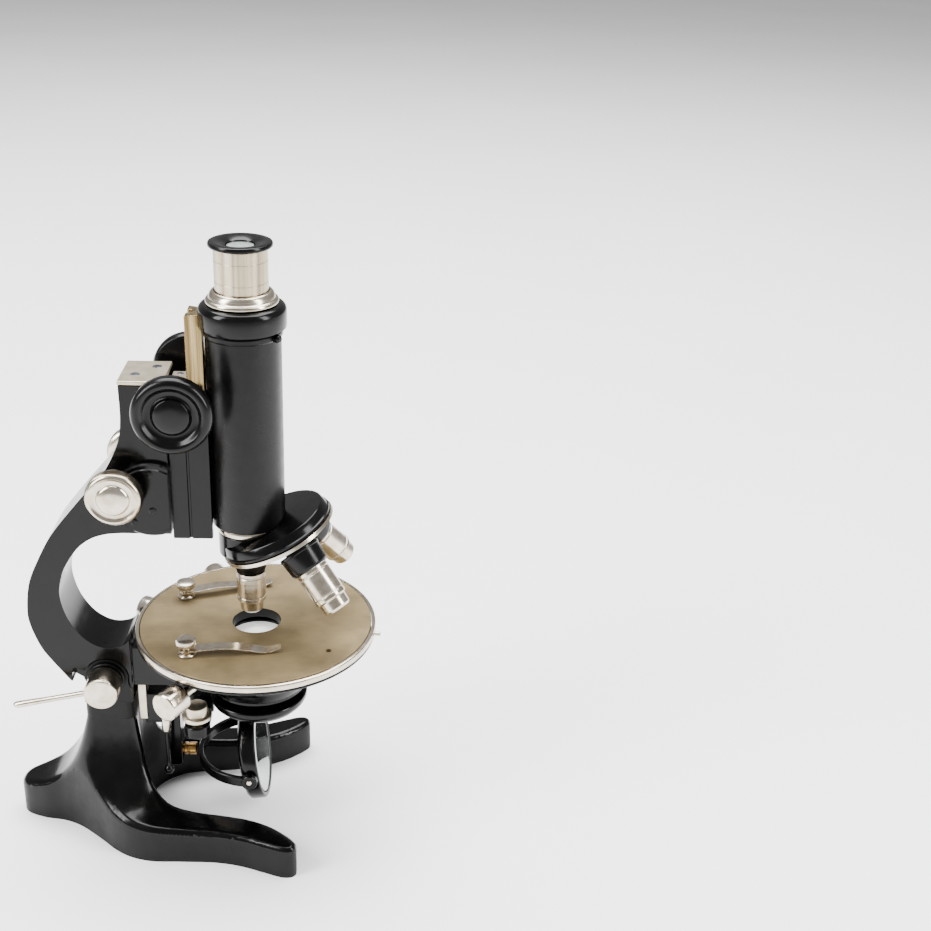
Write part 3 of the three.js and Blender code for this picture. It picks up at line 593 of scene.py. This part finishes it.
# %% Slotted screws
def screw(name, point, direction, radius, height, material, rides, turn=0.4):
    section = [(0, 0), (radius, 0), (radius, height * 0.6), (radius * 0.8, height * 0.9), (0, height)]
    item = piece(fit(turned(section, 28), aimed(*point, direction)), name, material, rides=rides,
                 bevel=0.08)
    groove = bmesh.new()
    bmesh.ops.create_cube(groove, size=1)
    bmesh.ops.scale(groove, vec=Vector((radius * 3, radius * 0.28, height)) * MM, verts=groove.verts)
    bmesh.ops.transform(groove, matrix=aimed(*point, direction) @ Matrix.Rotation(turn, 4, "Z")
                        @ Matrix.Translation((0, 0, height * 1.1 * MM)), verts=groove.verts)
    return cut(item, groove)


# %% Head plate and its screws
plate = prism([(-57.4, -14.2), (-35.9, -14.2), (-35.9, 14.2), (-57.4, 14.2)], 252.3, 254.3, upright=False)
piece(plate, "head_top_plate", DULL_NICKEL, node="head_plate", bevel=0.5)
for n, (x, y) in enumerate([(-50.5, -4.5), (-42, 6.5)]):
    screw(f"head_screw_{n}", (x, y, 254.0), (0, 0, 1), 2.3, 0.55, STEEL, "limb", 0.5 + n)

# %% [markdown]
# The fine adjustment sits in a round housing on each side of the limb, a low drum with a stepped
# face. Its spindle passes near the rim and carries a milled nickel knob at each end.

# %% Fine adjustment housings
for side, name in ((-1, "near"), (1, "far")):
    face = [(0, 14.1), (19.2, 14.1), (19.2, 16.4), (18.5, 17.3), (16.9, 17.3), (16.4, 18.2), (0, 18.35)]
    drum = fit(turned(mirrored_y(face, side), 128), aimed(-44.5, 0, 194.6, (0, 1, 0)))
    cover = piece(drum, f"fine_housing_{name}", GLOSS_ENAMEL, node=f"fine_cover_{name}", bevel=0.3)
    cut(cover, fit(turned([(0, -30), (4.3, -30), (4.3, 30), (0, 30)], 48), aimed(*FINE_AXIS, ALONG_Y)))
    cut(cover, prism([(-35.9, 150), (-10, 150), (-10, 230), (-35.9, 230)], -30, 30))
    for n, (x, z) in enumerate([(-44.5, 209), (-43.7, 189.5), (-53, 183.5)]):
        screw(f"fine_screw_{name}_{n}", (x, side * 18.1, z), (0, side, 0), 1.9, 0.7, EBONITE, "limb",
              n)

# %% Fine adjustment knobs
for side, name in ((-1, "near"), (1, "far")):
    face = [(0, 22.4), (10.5, 22.4), (12.6, 23.1), (13.5, 23.9), (13.5, 28.7), (12.7, 29.9), (11.9, 30.5),
            (11.2, 30.6),
            (10.4, 30.1), (9.4, 29.7), (8.0, 29.9), (7.5, 30.9), (6.6, 31.5), (4.0, 32.1), (0, 32.35)]
    milled = [(min(side * 23.5, side * 29.2), max(side * 23.5, side * 29.2), 0.45)]
    knob = fit(turned(mirrored_y(face, side), 180, milled), aimed(*FINE_AXIS, ALONG_Y))
    piece(knob, f"fine_milled_knob_{name}", NICKEL, node=f"fine_knob_{name}", bevel=0)

# %% [markdown]
# ## Coarse adjustment
# The block carries the tube in a dovetail. Its sides have long steps that show as dark vertical
# grooves. The big knobs are turned from ebonite: a rounded rim, a dished face and a central boss.

# %% Guide block
u, v = -35.6, -18.9
half = [(u, 12), (-27.6, 12), (-27.6, 10.9), (-26.4, 10.9), (-26.4, 12), (-16.6, 12), (-16.6, 8.6),
        (v, 8.6), (v, 6.3), (-26.3, 9.2), (-26.3, 2.6), (-27.7, 2.6)]
block = prism([(x, -y) for x, y in half] + [(x, y) for x, y in reversed(half)], 171.6, 248.6, upright=False)
piece(block, "coarse_guide", GLOSS_ENAMEL, node="guide_block", bevel=0.3)
plate = prism([(-35.3, -11.4), (-27.6, -11.4), (-27.6, 11.4), (-35.3, 11.4)], 248.8, 250.3, upright=False)
piece(plate, "coarse_guide_plate", DULL_NICKEL, node="guide_plate", bevel=0.3)
for n, y in enumerate((-8, 0, 8)):
    screw(f"guide_screw_{n}", (-31.4, y, 250.0), (0, 0, 1), 1.7, 0.6, STEEL, "fine_block", n)

# %% Coarse knobs
for side, name in ((-1, "near"), (1, "far")):
    face = [(0, 25.6), (6.8, 25.6), (8.2, 26.2), (15.8, 26.4), (17.8, 27.2), (18.7, 28.8), (18.7, 32.2),
            (18.2, 33.6), (17.2, 34.7),
            (16.0, 35.15), (14.9, 35.1), (13.9, 34.5), (13.0, 33.0), (11.6, 32.2), (9.8, 32.1), (8.9, 32.7),
            (8.3, 33.9), (6.6, 34.7), (3.8, 35.1), (0, 35.2)]
    knob = fit(turned(mirrored_y(face, side), 128), aimed(*COARSE_AXIS, ALONG_Y))
    piece(knob, f"coarse_hand_knob_{name}", EBONITE, node=f"coarse_knob_{name}", bevel=0.35)

# %% [markdown]
# ## Tube
# The body tube is drawn brass in satin black, with a collar above and a plated dovetail bar behind.

# %% Body tube, collar and bush
def standing(section, name, material, node, x=0, y=0, bevel=0.25, steps=112, milled=()):
    return piece(fit(turned(section, steps, milled), aimed(x, y, 0)), name, material, node=node,
                 bevel=bevel)


bar_room = [(-25.8, 270), (-17.95, 270), (-17.95, 284.9), (-25.8, 284.9)]
body = standing([(15.4, 176.8), (17.5, 176.8), (17.9, 177.3), (17.9, 273.6), (18.3, 274.2), (18.65, 274.6),
                 (18.65, 276.3),
                 (18.2, 276.9), (17.9, 277.2), (17.9, 287.4), (15.4, 287.4)], "main_tube", SATIN_ENAMEL,
                 "body_tube")
cut(body, prism(bar_room, -6.6, 6.6))
collar = standing([(18.2, 277.6), (19.7, 277.6), (20.4, 278.1), (20.6, 278.8), (20.6, 286.2), (20.3, 287.4),
                   (19.6, 288.4),
                   (18.4, 289.1), (17.4, 289.3), (15.4, 289.3), (15.4, 287.7), (18.2, 287.7)], "top_collar",
                   GLOSS_ENAMEL,
                  "tube_collar")
cut(collar, prism(bar_room, -6.6, 6.6))
standing([(12.8, 282), (15.1, 282), (15.1, 289.6), (16.6, 289.6), (17, 290), (17, 291.1), (16.7, 291.6),
          (15.9, 291.9),
          (15.5, 292.3), (15.35, 293.1), (14.9, 294.2), (14.2, 295.1), (13.3, 295.6), (12.8, 295.6)],
          "stepped_bush", NICKEL,
         "tube_bush", bevel=0.15)
standing([(11, 172.6), (15.2, 172.6), (15.9, 173.2), (16, 173.8), (16, 175.2), (15.5, 176.2), (15, 176.5),
          (11, 176.5)],
         "tube_foot_ring", NICKEL, "nose_ring", bevel=0.15)
grub = [(0, 0), (1.9, 0), (1.9, 2.6), (1.3, 3.4), (0, 3.6)]
around = math.radians(-32)
spot = (18.3 * math.cos(around), 18.3 * math.sin(around), 275.4)
piece(fit(turned(grub, 32), aimed(*spot, (math.cos(around), math.sin(around), 0))), "collar_grub_screw",
      EBONITE, rides="tube", bevel=0.2)

# %% [markdown]
# The dovetail bar is rubbed flat. Its long upright streaks of light and dark are painted reflections in its
# colour, over the real wear. A brass rack is let into its back, and keeps its plain solid.

# %% Slide bar
bar = [(-25.9, -8.5), (-18.25, -5.4), (-18.25, 5.4), (-25.9, 8.5), (-25.9, 2.3), (-23.8, 2.3),
       (-23.8, -2.3), (-25.9, -2.3)]
piece(prism(bar, 178, 284.5, upright=False), "dovetail_bar", RUBBED_WITH_SHEEN, node="slide_bar", bevel=0.3)

# %% [markdown]
# The draw tube is plated and slides in the bush. Fine engraved rings, ten millimetres apart, tell
# the tube length.

# %% Draw tube and its scale
lines = []
for k in range(20):
    z = 298 + 2 * k
    if z < 315:
        lines += [(12.5, z - 0.14), (12.36, z - 0.07), (12.36, z + 0.07),
                  (12.5, z + 0.14)] if k % 5 == 1 else []
standing([(11.9, 200), (12.3, 200), (12.5, 200.3)] + lines + [(12.5, 315.4), (11.9, 315.4)], "sliding_tube",
         STREAKED_SHEEN, "draw_tube", bevel=0.05)

# %% Eyepiece
standing([(10.6, 272), (11.6, 272), (11.6, 315.8), (13.4, 315.8), (14.5, 316.1), (14.9, 316.6),
          (14.9, 317.6), (14.6, 318.2),
          (13.9, 318.48), (11.2, 318.4), (9.6, 317.9), (8.0, 317.5), (6.7, 316.9), (6.5, 316.3), (6.5, 315),
          (10.6, 314)],
         "eyepiece_mount", EBONITE, "eyepiece", bevel=0.15)
standing([(0, 315.3), (6.2, 315.7), (6.2, 316.3), (4, 316.8), (2, 317), (0, 317.1)], "eyepiece_top_lens",
         LENS, "eye_lens", bevel=0)

# %% [markdown]
# ## Nosepiece
# The revolving nosepiece leans 25.1 degrees, so that each objective comes upright in its turn. The
# upper plate is fixed to the tube; the dish below it turns and carries three objectives.

# %% Nosepiece place
LEAN = math.radians(25.1)
NOSE = Matrix.Translation(at(14.8, 0, 169)) @ Matrix.Rotation(-LEAN, 4, "Y")
ARM = 14.8 / math.sin(LEAN)


def station(angle):
    """The matrix that takes a piece made down from the apex to one of the three stations."""
    return (NOSE @ Matrix.Rotation(math.radians(angle), 4, "Z") @ Matrix.Translation((0, 0, ARM * MM))
            @ Matrix.Rotation(LEAN, 4, "Y"))


# %% Fixed plate of the nosepiece
dome = fit(turned([(0, 2.3), (28.6, 2.3), (28.85, 2.6), (28.85, 3.5), (28.2, 4), (27, 7.7), (26.5, 8.15),
                   (0, 8.75)], 144), NOSE)
dome_item = piece(dome, "nose_dome", GLOSS_ENAMEL, node="nose_plate", bevel=0.2)
cut(dome_item, fit(turned([(0, 172.3), (18.4, 172.3), (18.4, 205), (0, 205)], 96), aimed(0, 0, 0)))
cut(dome_item, fit(turned([(0, 140), (9, 140), (9, 190), (0, 190)], 48), aimed(0, 0, 0)))
neck = turned([(9, 163.2), (15.2, 160.2), (15.3, 172), (15, 172.3), (9, 172.3)], 96)
neck_item = piece(fit(neck, aimed(0, 0, 0)), "nose_neck", GLOSS_ENAMEL, rides="tube",
                  bevel=0.2)
below = bmesh.new()
bmesh.ops.create_cube(below, size=1)
bmesh.ops.scale(below, vec=(0.12, 0.12, 0.04), verts=below.verts)
bmesh.ops.transform(below, matrix=NOSE @ Matrix.Translation((0, 0, (2.4 - 20) * MM)), verts=below.verts)
cut(neck_item, below)

# %% Revolving dish and rim
dish = turned([(0, -9.3), (5.8, -9.3), (6.8, -9.1), (27, -0.5), (28.2, 0.1), (28.2, 1.9), (0, 1.9)], 144)
dish_item = piece(fit(dish, NOSE), "revolving_dish", GLOSS_ENAMEL, node="turret_dish", bevel=0.3)
for angle in (0, 120, -120):
    cut(dish_item, fit(turned([(0, -60), (7.3, -60), (7.3, -20), (0, -20)], 48), station(angle)))
ring = turned([(28.5, 0), (28.9, -0.2), (29.5, 0.1), (29.6, 0.4), (29.6, 1.5), (29.4, 1.9), (28.5, 2)], 288,
              milled=[(0.2, 1.7, 0.28)])
piece(fit(ring, NOSE), "revolving_rim", NICKEL, node="turret_rim", bevel=0)
centre = turned([(0, -11.4), (3.4, -11.4), (4.6, -11), (4.8, -10.6), (4.8, -9.6), (0, -9.6)], 64)
piece(fit(centre, NOSE), "nose_centre_screw", NICKEL, node="turret_screw", bevel=0.15)

# %% [markdown]
# Each objective screws up into the dish. It has a milled black collar, a bright barrel with a few
# turned grooves, and a narrower nose round the front lens.

# %% Objectives
def barrel(r, tip, collar, end):
    down = [(r, collar + 0.5), (r, collar + 2.2), (r - 0.3, collar + 2.5), (r - 0.3, collar + 3.0),
            (r, collar + 3.3),
            (r, end - 9.2), (r - 0.25, end - 9.0), (r - 0.25, end - 8.6), (r, end - 8.4), (r, end - 6.6),
            (tip + 0.2, end - 5.8),
            (tip, end - 1.1), (tip - 0.9, end), (3.2, end), (3.2, end - 3), (5.4, end - 5),
            (5.4, collar + 0.5)]
    return [(radius, -s) for radius, s in down]


def collar_of(top, foot_radius, collar):
    down = [(5.4, 39.8), (6.9, 39.8), (6.9, 43.9), (top - 0.5, 43.9), (top, 44.5), (top, 45.6),
            (top - 0.3, 45.9), (foot_radius + 0.5, collar - 1.2), (foot_radius, collar - 0.4),
            (foot_radius - 0.5, collar + 0.4), (5.4, collar + 0.4)]
    return [(radius, -s) for radius, s in down]


LENSES = [("objective_1", 0, 7.8, 7.2, 52, 75, 7.4, 5.8), ("objective_2", 120, 10.8, 9.4, 55, 79.2, 8.3, 7),
          ("objective_3", -120, 10.8, 9.4, 55, 80.2, 7.8, 6.6)]
for node, angle, top, foot_radius, collar_end, end, r, tip in LENSES:
    shell = fit(turned(barrel(r, tip, collar_end, end), 96), station(angle))
    piece(shell, f"{node}_barrel", NICKEL, node=node, bevel=0.12)
    grip = turned(collar_of(top, foot_radius, collar_end), 120, milled=[(-collar_end + 1, -46.2, 0.25)])
    piece(fit(grip, station(angle)), f"{node}_collar", EBONITE, rides="turret", bevel=0)
    front = turned([(0, -end + 0.8), (2.8, -end + 0.8), (2.8, -end + 2), (0, -end + 2)], 48)
    piece(fit(front, station(angle)), f"{node}_front_lens", LENS, node=f"{node}_lens", bevel=0.2)

# %% [markdown]
# ## Stage
# A round browned plate turns inside a nickel rim, over a black bearing shaped like a dish. Two
# sprung clips swing on nickel posts with milled heads.

# %% Stage plate, rim and bearing
STAGE_X = 2.2
table = standing([(12.2, 113.2), (58.9, 113.2), (58.9, 118.25), (58.75, 118.4), (12.4, 118.4),
                  (12.2, 118.2)], "round_stage", BRONZED,
                 "stage_plate", x=STAGE_X, bevel=0.12, steps=192)
holes = [(40.6, -28.4, 1.5, 116.6)] + [(x, y, 2.1, 100) for x, y, _ in CLIP_POSTS.values()]
for x, y, r, z in holes:
    cut(table, fit(turned([(0, z), (r, z), (r, 130), (0, 130)], 32), aimed(x, y, 0)))
standing([(59.3, 114.8), (60.9, 114.8), (61.25, 115.1), (61.3, 115.6), (61.3, 117.4), (61.0, 118),
          (60.5, 118.3), (59.3, 118.3)],
         "stage_band", NICKEL, "stage_rim", x=STAGE_X, bevel=0.12, steps=192)
hole_wall = turned([(12, 113.2), (12.2, 113.2), (12.2, 118.2), (12, 118)], 128)
piece(fit(hole_wall, aimed(STAGE_X, 0, 0)), "stage_hole_wall", SATIN_ENAMEL, rides="stage",
      bevel=0)
band_foot = turned([(59.3, 113.2), (60.7, 113.2), (61, 113.5), (61, 114.5), (59.3, 114.6)], 192)
piece(fit(band_foot, aimed(STAGE_X, 0, 0)), "stage_band_foot", GLOSS_ENAMEL, rides="stage",
      bevel=0.12)
pin_way = math.radians(-7.7)
pin = turned([(0, 61.5), (1.05, 61.5), (1.05, 64.2), (0.7, 64.6), (0, 64.6)], 32)
piece(fit(pin, aimed(STAGE_X, 0, 116, (math.cos(pin_way), math.sin(pin_way), 0))), "stage_pin", NICKEL,
      node="stage_stop", bevel=0.1)
standing([(18.6, 82), (24.8, 82), (25.2, 82.4), (25.2, 83.8), (25.8, 84.6), (26.4, 88), (28.4, 91.9),
          (32, 96), (37.4, 100.6),
          (44, 105), (50.6, 108.4), (56.6, 110.4), (57.2, 110.8), (57.3, 112.9), (18.6, 112.9)],
          "bearing_dish", GLOSS_ENAMEL,
         "stage_bearing", x=STAGE_X, bevel=0.25, steps=160)

# %% [markdown]
# Each clip is a strip of spring brass, pierced at one end for its post and bowed so that the far
# end presses on the slide.

# %% Stage clips
def swing(x, y, degrees):
    return Matrix.Translation(at(x, y, 118.4)) @ Matrix.Rotation(math.radians(degrees), 4, "Z")


def clip_strip():
    bottom = smooth([(2.6, 3.05), (9, 3.5), (16, 3.9), (24, 3.3), (31, 2.1), (37, 0.75), (41, 0.9),
                     (45.8, 2.2)], 5)
    top_side = [(x, z + 0.62) for x, z in reversed(bottom)]
    mesh = prism(bottom + top_side, -3.3, 3.3)
    bmesh.ops.translate(mesh, verts=mesh.verts, vec=-AXIS)
    for v in mesh.verts:
        reach = v.co.x / MM
        v.co.y *= 1.0 if reach < 30 else 1.0 - 0.35 * ((reach - 30) / 16) ** 2
    return mesh


for name, (x, y, degrees) in CLIP_POSTS.items():
    place = swing(x, y, degrees)
    piece(fit(clip_strip(), place), f"clip_strip_{name}", NICKEL, node=f"clip_spring_{name}", bevel=0.12)
    eye = turned([(2.3, 3.05), (3.9, 3.05), (3.9, 3.67), (2.3, 3.67)], 48)
    piece(fit(eye, place), f"clip_eye_{name}", NICKEL, rides=f"clip_{name}", bevel=0.1)
    post = turned([(0, -4.4), (1.8, -4.4), (1.8, 0.25), (4.1, 0.3), (4.4, 0.6), (4.4, 1.0), (4.1, 1.4),
                   (2.1, 2.1), (2.0, 4.8),
                   (3.4, 5.2), (4.6, 5.9), (4.9, 6.4), (4.9, 8.4), (4.5, 9.0), (3.2, 9.45), (0, 9.6)], 84,
                  milled=[(6.2, 8.6, 0.3)])
    piece(fit(post, place), f"clip_screw_{name}", NICKEL, node=f"clip_post_{name}", bevel=0)

# %% [markdown]
# Three plated screws point at the stage's middle from under its rim. Two centre it and the third,
# which sits further out, clamps it.

# %% Centring screws
for node, degrees, z, seat, r in (("centring_screw_near", -122.5, 105.6, 60, 7.2),
                                  ("centring_screw_far", 153.5, 105.6, 60, 7.2),
                                  ("stage_clamp_screw", 114.7, 107.9, 62.6, 6.6)):
    way = (math.cos(math.radians(degrees)), math.sin(math.radians(degrees)), 0)
    head = turned([(0, 42), (2.4, 42), (2.4, seat - 0.4), (r - 1, seat), (r - 0.2, seat + 0.5),
                   (r, seat + 1.2), (r, seat + 10.9),
                   (r - 0.2, seat + 11.5), (r - 0.9, seat + 11.95), (0, seat + 12)], 120)
    piece(fit(head, aimed(STAGE_X, 0, z, way)), f"{node}_head", NICKEL, node=node, bevel=0.15)

# %% Bracket under the stage
bracket = prism([(-60.2, 86.2), (-60.2, 108.8), (-55.4, 108.8), (-50, 106.6), (-42.5, 103.2), (-34.6, 98),
                 (-28.4, 92), (-25, 87.4), (-24.4, 84.2), (-38, 84.2), (-44, 86.2)], -12.8, 12.8)
piece(bracket, "bearing_bracket", GLOSS_ENAMEL, node="stage_bracket", bevel=0.5)

# %% [markdown]
# ## Substage
# The condenser sits in a cup that slides on a plated rail. A flanged knob with an upright axis
# raises it, and a small lever with a black ball hangs beside it.

# %% Substage slide and condenser
rail = prism([(-59.5, 62), (-55.3, 62), (-55.3, 83.5), (-59.5, 83.5)], -8, 8)
piece(rail, "slide_rail", DULL_NICKEL, node="substage_rail", bevel=0.4)
cup = turned([(12, 67.2), (17, 67.2), (19.5, 68.3), (22.4, 70.2), (24.6, 72.6), (25.3, 74.2), (25.4, 75),
              (25.4, 76.4), (25.0, 77), (17.9, 77), (17.9, 69), (12, 69)], 128)
piece(fit(cup, aimed(STAGE_X, 0, 0)), "condenser_cup", GLOSS_ENAMEL, node="condenser_mount", bevel=0.25)
arm = prism([(-54.8, 62), (-43.2, 62), (-43.2, 64.2), (-21, 66), (-21, 76.8), (-43.2, 76.8), (-43.2, 79),
             (-54.8, 79)], -7, 7)
prism([(-54.8, 62.1), (-43.1, 62.1), (-43.1, 78.9), (-54.8, 78.9)], -9.9, 9.9, arm)
piece(arm, "condenser_arm", GLOSS_ENAMEL, rides="substage", bevel=0.5)
lug = fit(turned([(0, 63), (6, 63), (6.5, 63.5), (6.5, 68.8), (6, 69.3), (0, 69.3)], 64),
          aimed(*SUBSTAGE_KNOB))
prism([(-33, -20.5), (-22, -20.5), (-22, -5), (-33, -5)], 63.2, 69.1, lug, upright=False)
piece(lug, "condenser_lug", GLOSS_ENAMEL, rides="substage", bevel=0.3)
standing([(14, 69.4), (17.6, 69.4), (17.6, 88), (17.2, 88.5), (17.2, 97), (17.1, 104), (16.9, 107.5),
          (16.5, 109.1), (16.1, 109.4),
          (15.4, 109.4), (15.4, 107.4), (14, 106)], "condenser_mount_tube", EBONITE, "condenser", x=STAGE_X,
          bevel=0.2)
standing([(0, 107.2), (15, 107.8), (15, 108.5), (10, 109.3), (5, 109.8), (0, 109.9)], "condenser_top_lens",
         GLOWING_GROUND_GLASS, "condenser_lens", x=STAGE_X, bevel=0)
knob = turned([(0, 69.6), (3, 69.6), (3, 72.5), (7.2, 72.6), (7.6, 73), (7.6, 74.6), (7.2, 75), (5.6, 75.3),
               (5.5, 75.6),
               (5.5, 79.4), (5.2, 80), (4.7, 80.2), (0, 80.2)], 120, milled=[(75.5, 79.5, 0.2)])
piece(fit(knob, aimed(*SUBSTAGE_KNOB)), "condenser_knob", DULL_NICKEL, node="substage_knob", bevel=0)
ball = [(2.7 * math.sin(math.radians(a)), 33.7 - 2.7 * math.cos(math.radians(a))) for a in range(0, 151,
                                                                                                 15)]
lever = ball + [(1.2, 36.4), (1.1, 40), (1.1, 57.6), (0, 57.7)]
piece(fit(turned(lever, 48), aimed(-45, -12.8, 0)), "ball_lever", EBONITE, rides="substage_lever",
      bevel=0)
lever_top = turned([(0, 57.6), (1.2, 57.7), (1.6, 58.4), (2.3, 59), (2.4, 60), (2.4, 66.4), (2, 67),
                    (0, 67)], 48)
piece(fit(lever_top, aimed(-45, -12.8, 0)), "ball_lever_top", NICKEL, node="substage_lever", bevel=0)

# %% [markdown]
# ## Mirror
# The mirror hangs in a fork. The fork swivels on a brass pin in the tailpiece, and the cell tilts
# in the fork.

# %% Tailpiece, fork and mirror
tail_bar = prism([(-57, 57.5), (-57, 61.6), (-39.2, 61.6), (-39.2, 31.4), (-40.6, 30), (-45.6, 30),
                  (-47, 31.4), (-47, 57.5)], -5, 5)
piece(tail_bar, "tail_bar", GLOSS_ENAMEL, node="tailpiece", bevel=0.5)
half_ring = arc(-1, 0, 29.7, 90, 270, 64) + arc(-1, 0, 27.3, 270, 90, 64)
fork = prism(half_ring, 34.7, 40.5, upright=False)
piece(fork, "mirror_half_ring", GLOSS_ENAMEL, node="mirror_fork", bevel=0.7, segments=3)
for side in (-1, 1):
    boss = turned([(1.8, 27.2), (4, 27.2), (4.2, 27.5), (4.2, 29.8), (3.8, 30.35), (1.8, 30.35)], 48)
    trunnion = turned([(0, 25.2), (1.5, 25.2), (1.5, 30.1), (1.2, 30.4), (0, 30.4)], 32)
    head = aimed(*MIRROR_CENTRE, (0, side, 0))
    name = "near" if side < 0 else "far"
    piece(fit(boss, head), f"fork_end_{name}", GLOSS_ENAMEL, rides="mirror_fork")
    piece(fit(trunnion, head), f"trunnion_{name}", NICKEL, rides="mirror_fork")
cell = turned([(0, -5), (20.8, -5), (22.6, -4.9), (24.8, -4.1), (26.0, -2.8), (26.2, -2), (26.2, 3.2),
               (26, 4), (25.4, 4.5), (24.2, 4.6), (23.5, 4.2), (23.2, 3.4), (23.2, 2.6), (0, 2.6)], 144)
tilt = math.radians(8)
facing = aimed(*MIRROR_CENTRE, (math.cos(tilt), 0, math.sin(tilt)))
piece(fit(cell, facing), "mirror_bezel", GLOSS_ENAMEL, node="mirror_cell", bevel=0.15)
disc = turned([(0, 2.8), (22.8, 2.8), (22.8, 4.1), (22.5, 4.2), (18, 3.9), (12, 3.6), (6, 3.45), (0, 3.4)],
              144)
piece(fit(disc, facing), "mirror_disc", MIRROR_GLASS, node="mirror_glass", bevel=0)
swivel = turned([(0, -47), (2.2, -47), (2.2, -37.6), (3.1, -37.5), (3.3, -37.2), (3.3, -35.8), (2.8, -35.5),
                 (2.8, -34.9), (3.3, -34.6), (3.3, -31.4), (3, -31), (0, -31)], 64)
piece(fit(swivel, aimed(*MIRROR_CENTRE, ALONG_X)), "mirror_swivel_pin", BRASS, node="mirror_pin",
      bevel=0.15)

# %% [markdown]
# ## Inclination joint
# A plated cap covers the pin's far end. At the near end a broad plated knob, tightened with a
# rod-like lever, clamps the limb at its slope.

# %% Clamp and cap
def across(section, steps=112, milled=()):
    return fit(turned(section, steps, milled), aimed(PIVOT[0], 0, PIVOT[1], (0, 1, 0)))


piece(across([(0, 16.5), (7.8, 16.5), (8.2, 16.9), (8.2, 19.9), (7.8, 20.7), (6.9, 21.3), (4, 21.65),
              (0, 21.8)]), "joint_cap",
      NICKEL, node="pivot_cap", bevel=0.15)
piece(across([(0, -30.2), (7, -30.15), (8.1, -29.8), (8.6, -29.1), (8.7, -28.4), (8.7, -18), (8.4, -17),
              (7.8, -16.3), (0, -16.2)]), "joint_clamp_knob", NICKEL, node="clamp_knob", bevel=0.15)
slope = math.radians(-102)
rod_section = [(0, 9.1), (1.45, 9.1), (1.45, 20), (1.5, 30), (1.75, 40), (1.8, 43.6), (1.65, 44.8),
               (1.2, 45.6), (0, 45.9)]
rod = fit(turned(rod_section, 48), aimed(PIVOT[0], -25.2, PIVOT[1], (math.sin(slope), 0, math.cos(slope))))
piece(rod, "joint_clamp_lever", NICKEL, node="clamp_lever", bevel=0)

# %% [markdown]
# ## Room, light and camera
# A pale floor, a white surround and three broad soft lights, as on a studio table.

# %% Floor
floor_mesh = bmesh.new()
bmesh.ops.create_grid(floor_mesh, x_segments=2, y_segments=2, size=6)
floor_data = bpy.data.meshes.new("floor")
floor_mesh.to_mesh(floor_data)
floor_mesh.free()
floor = bpy.data.objects.new("floor", floor_data)
bpy.context.collection.objects.link(floor)
PAPER, paper_shader = new_material("white_paper")
paper_shader.inputs["Roughness"].default_value = 0.9
paper_mm = millimetres(PAPER)
link(PAPER, ramp(PAPER, noise(PAPER, paper_mm, 400), [(0.3, "#f6f6f6"), (0.7, "#fbfbfb")]),
     paper_shader.inputs["Base Color"])
floor_data.materials.append(PAPER)

# %% World and lights
world = bpy.data.worlds.new("studio")
bpy.context.scene.world = world
world.use_nodes = True
world.node_tree.nodes["Background"].inputs["Color"].default_value = (1, 1, 1, 1)
world.node_tree.nodes["Background"].inputs["Strength"].default_value = 0.45


def soft_light(name, place, aim, size, power):
    data = bpy.data.lights.new(name, "AREA")
    data.shape = "RECTANGLE"
    data.size, data.size_y = size
    data.energy = power
    lamp = bpy.data.objects.new(name, data)
    lamp.location = place
    lamp.rotation_euler = (Vector(aim) - Vector(place)).to_track_quat("-Z", "Y").to_euler()
    bpy.context.collection.objects.link(lamp)


soft_light("left_box", (-0.9, -0.5, 0.8), (0, 0, 0.15), (0.4, 0.9), 24)
soft_light("right_box", (1.0, -0.4, 0.7), (0, 0, 0.15), (0.3, 0.9), 16)
soft_light("top_box", (0, 0.6, 2.2), (0, 0.3, 0.0), (2.4, 1.8), 190)

# %% Camera
yaw, pitch, roll = math.radians(3.308), math.radians(24.537), math.radians(-2.381)
forward = Vector((math.sin(yaw) * math.cos(pitch), math.cos(yaw) * math.cos(pitch), -math.sin(pitch)))
level = Vector((math.cos(yaw), -math.sin(yaw), 0))
down = forward.cross(level)
right = math.cos(roll) * level + math.sin(roll) * down
below_view = -math.sin(roll) * level + math.cos(roll) * down
camera_data = bpy.data.cameras.new("camera")
camera_data.sensor_width = 36
camera_data.lens = 1335 / 931 * 36
camera = bpy.data.objects.new("camera", camera_data)
bpy.context.collection.objects.link(camera)
turn = Matrix((right, -below_view, -forward)).transposed().to_4x4()
camera.matrix_world = Matrix.Translation(at(72.17, -597.06, 481.15)) @ turn
bpy.context.scene.camera = camera
print("camera", camera.location[:])

# %% Update the scene
bpy.context.view_layer.update()
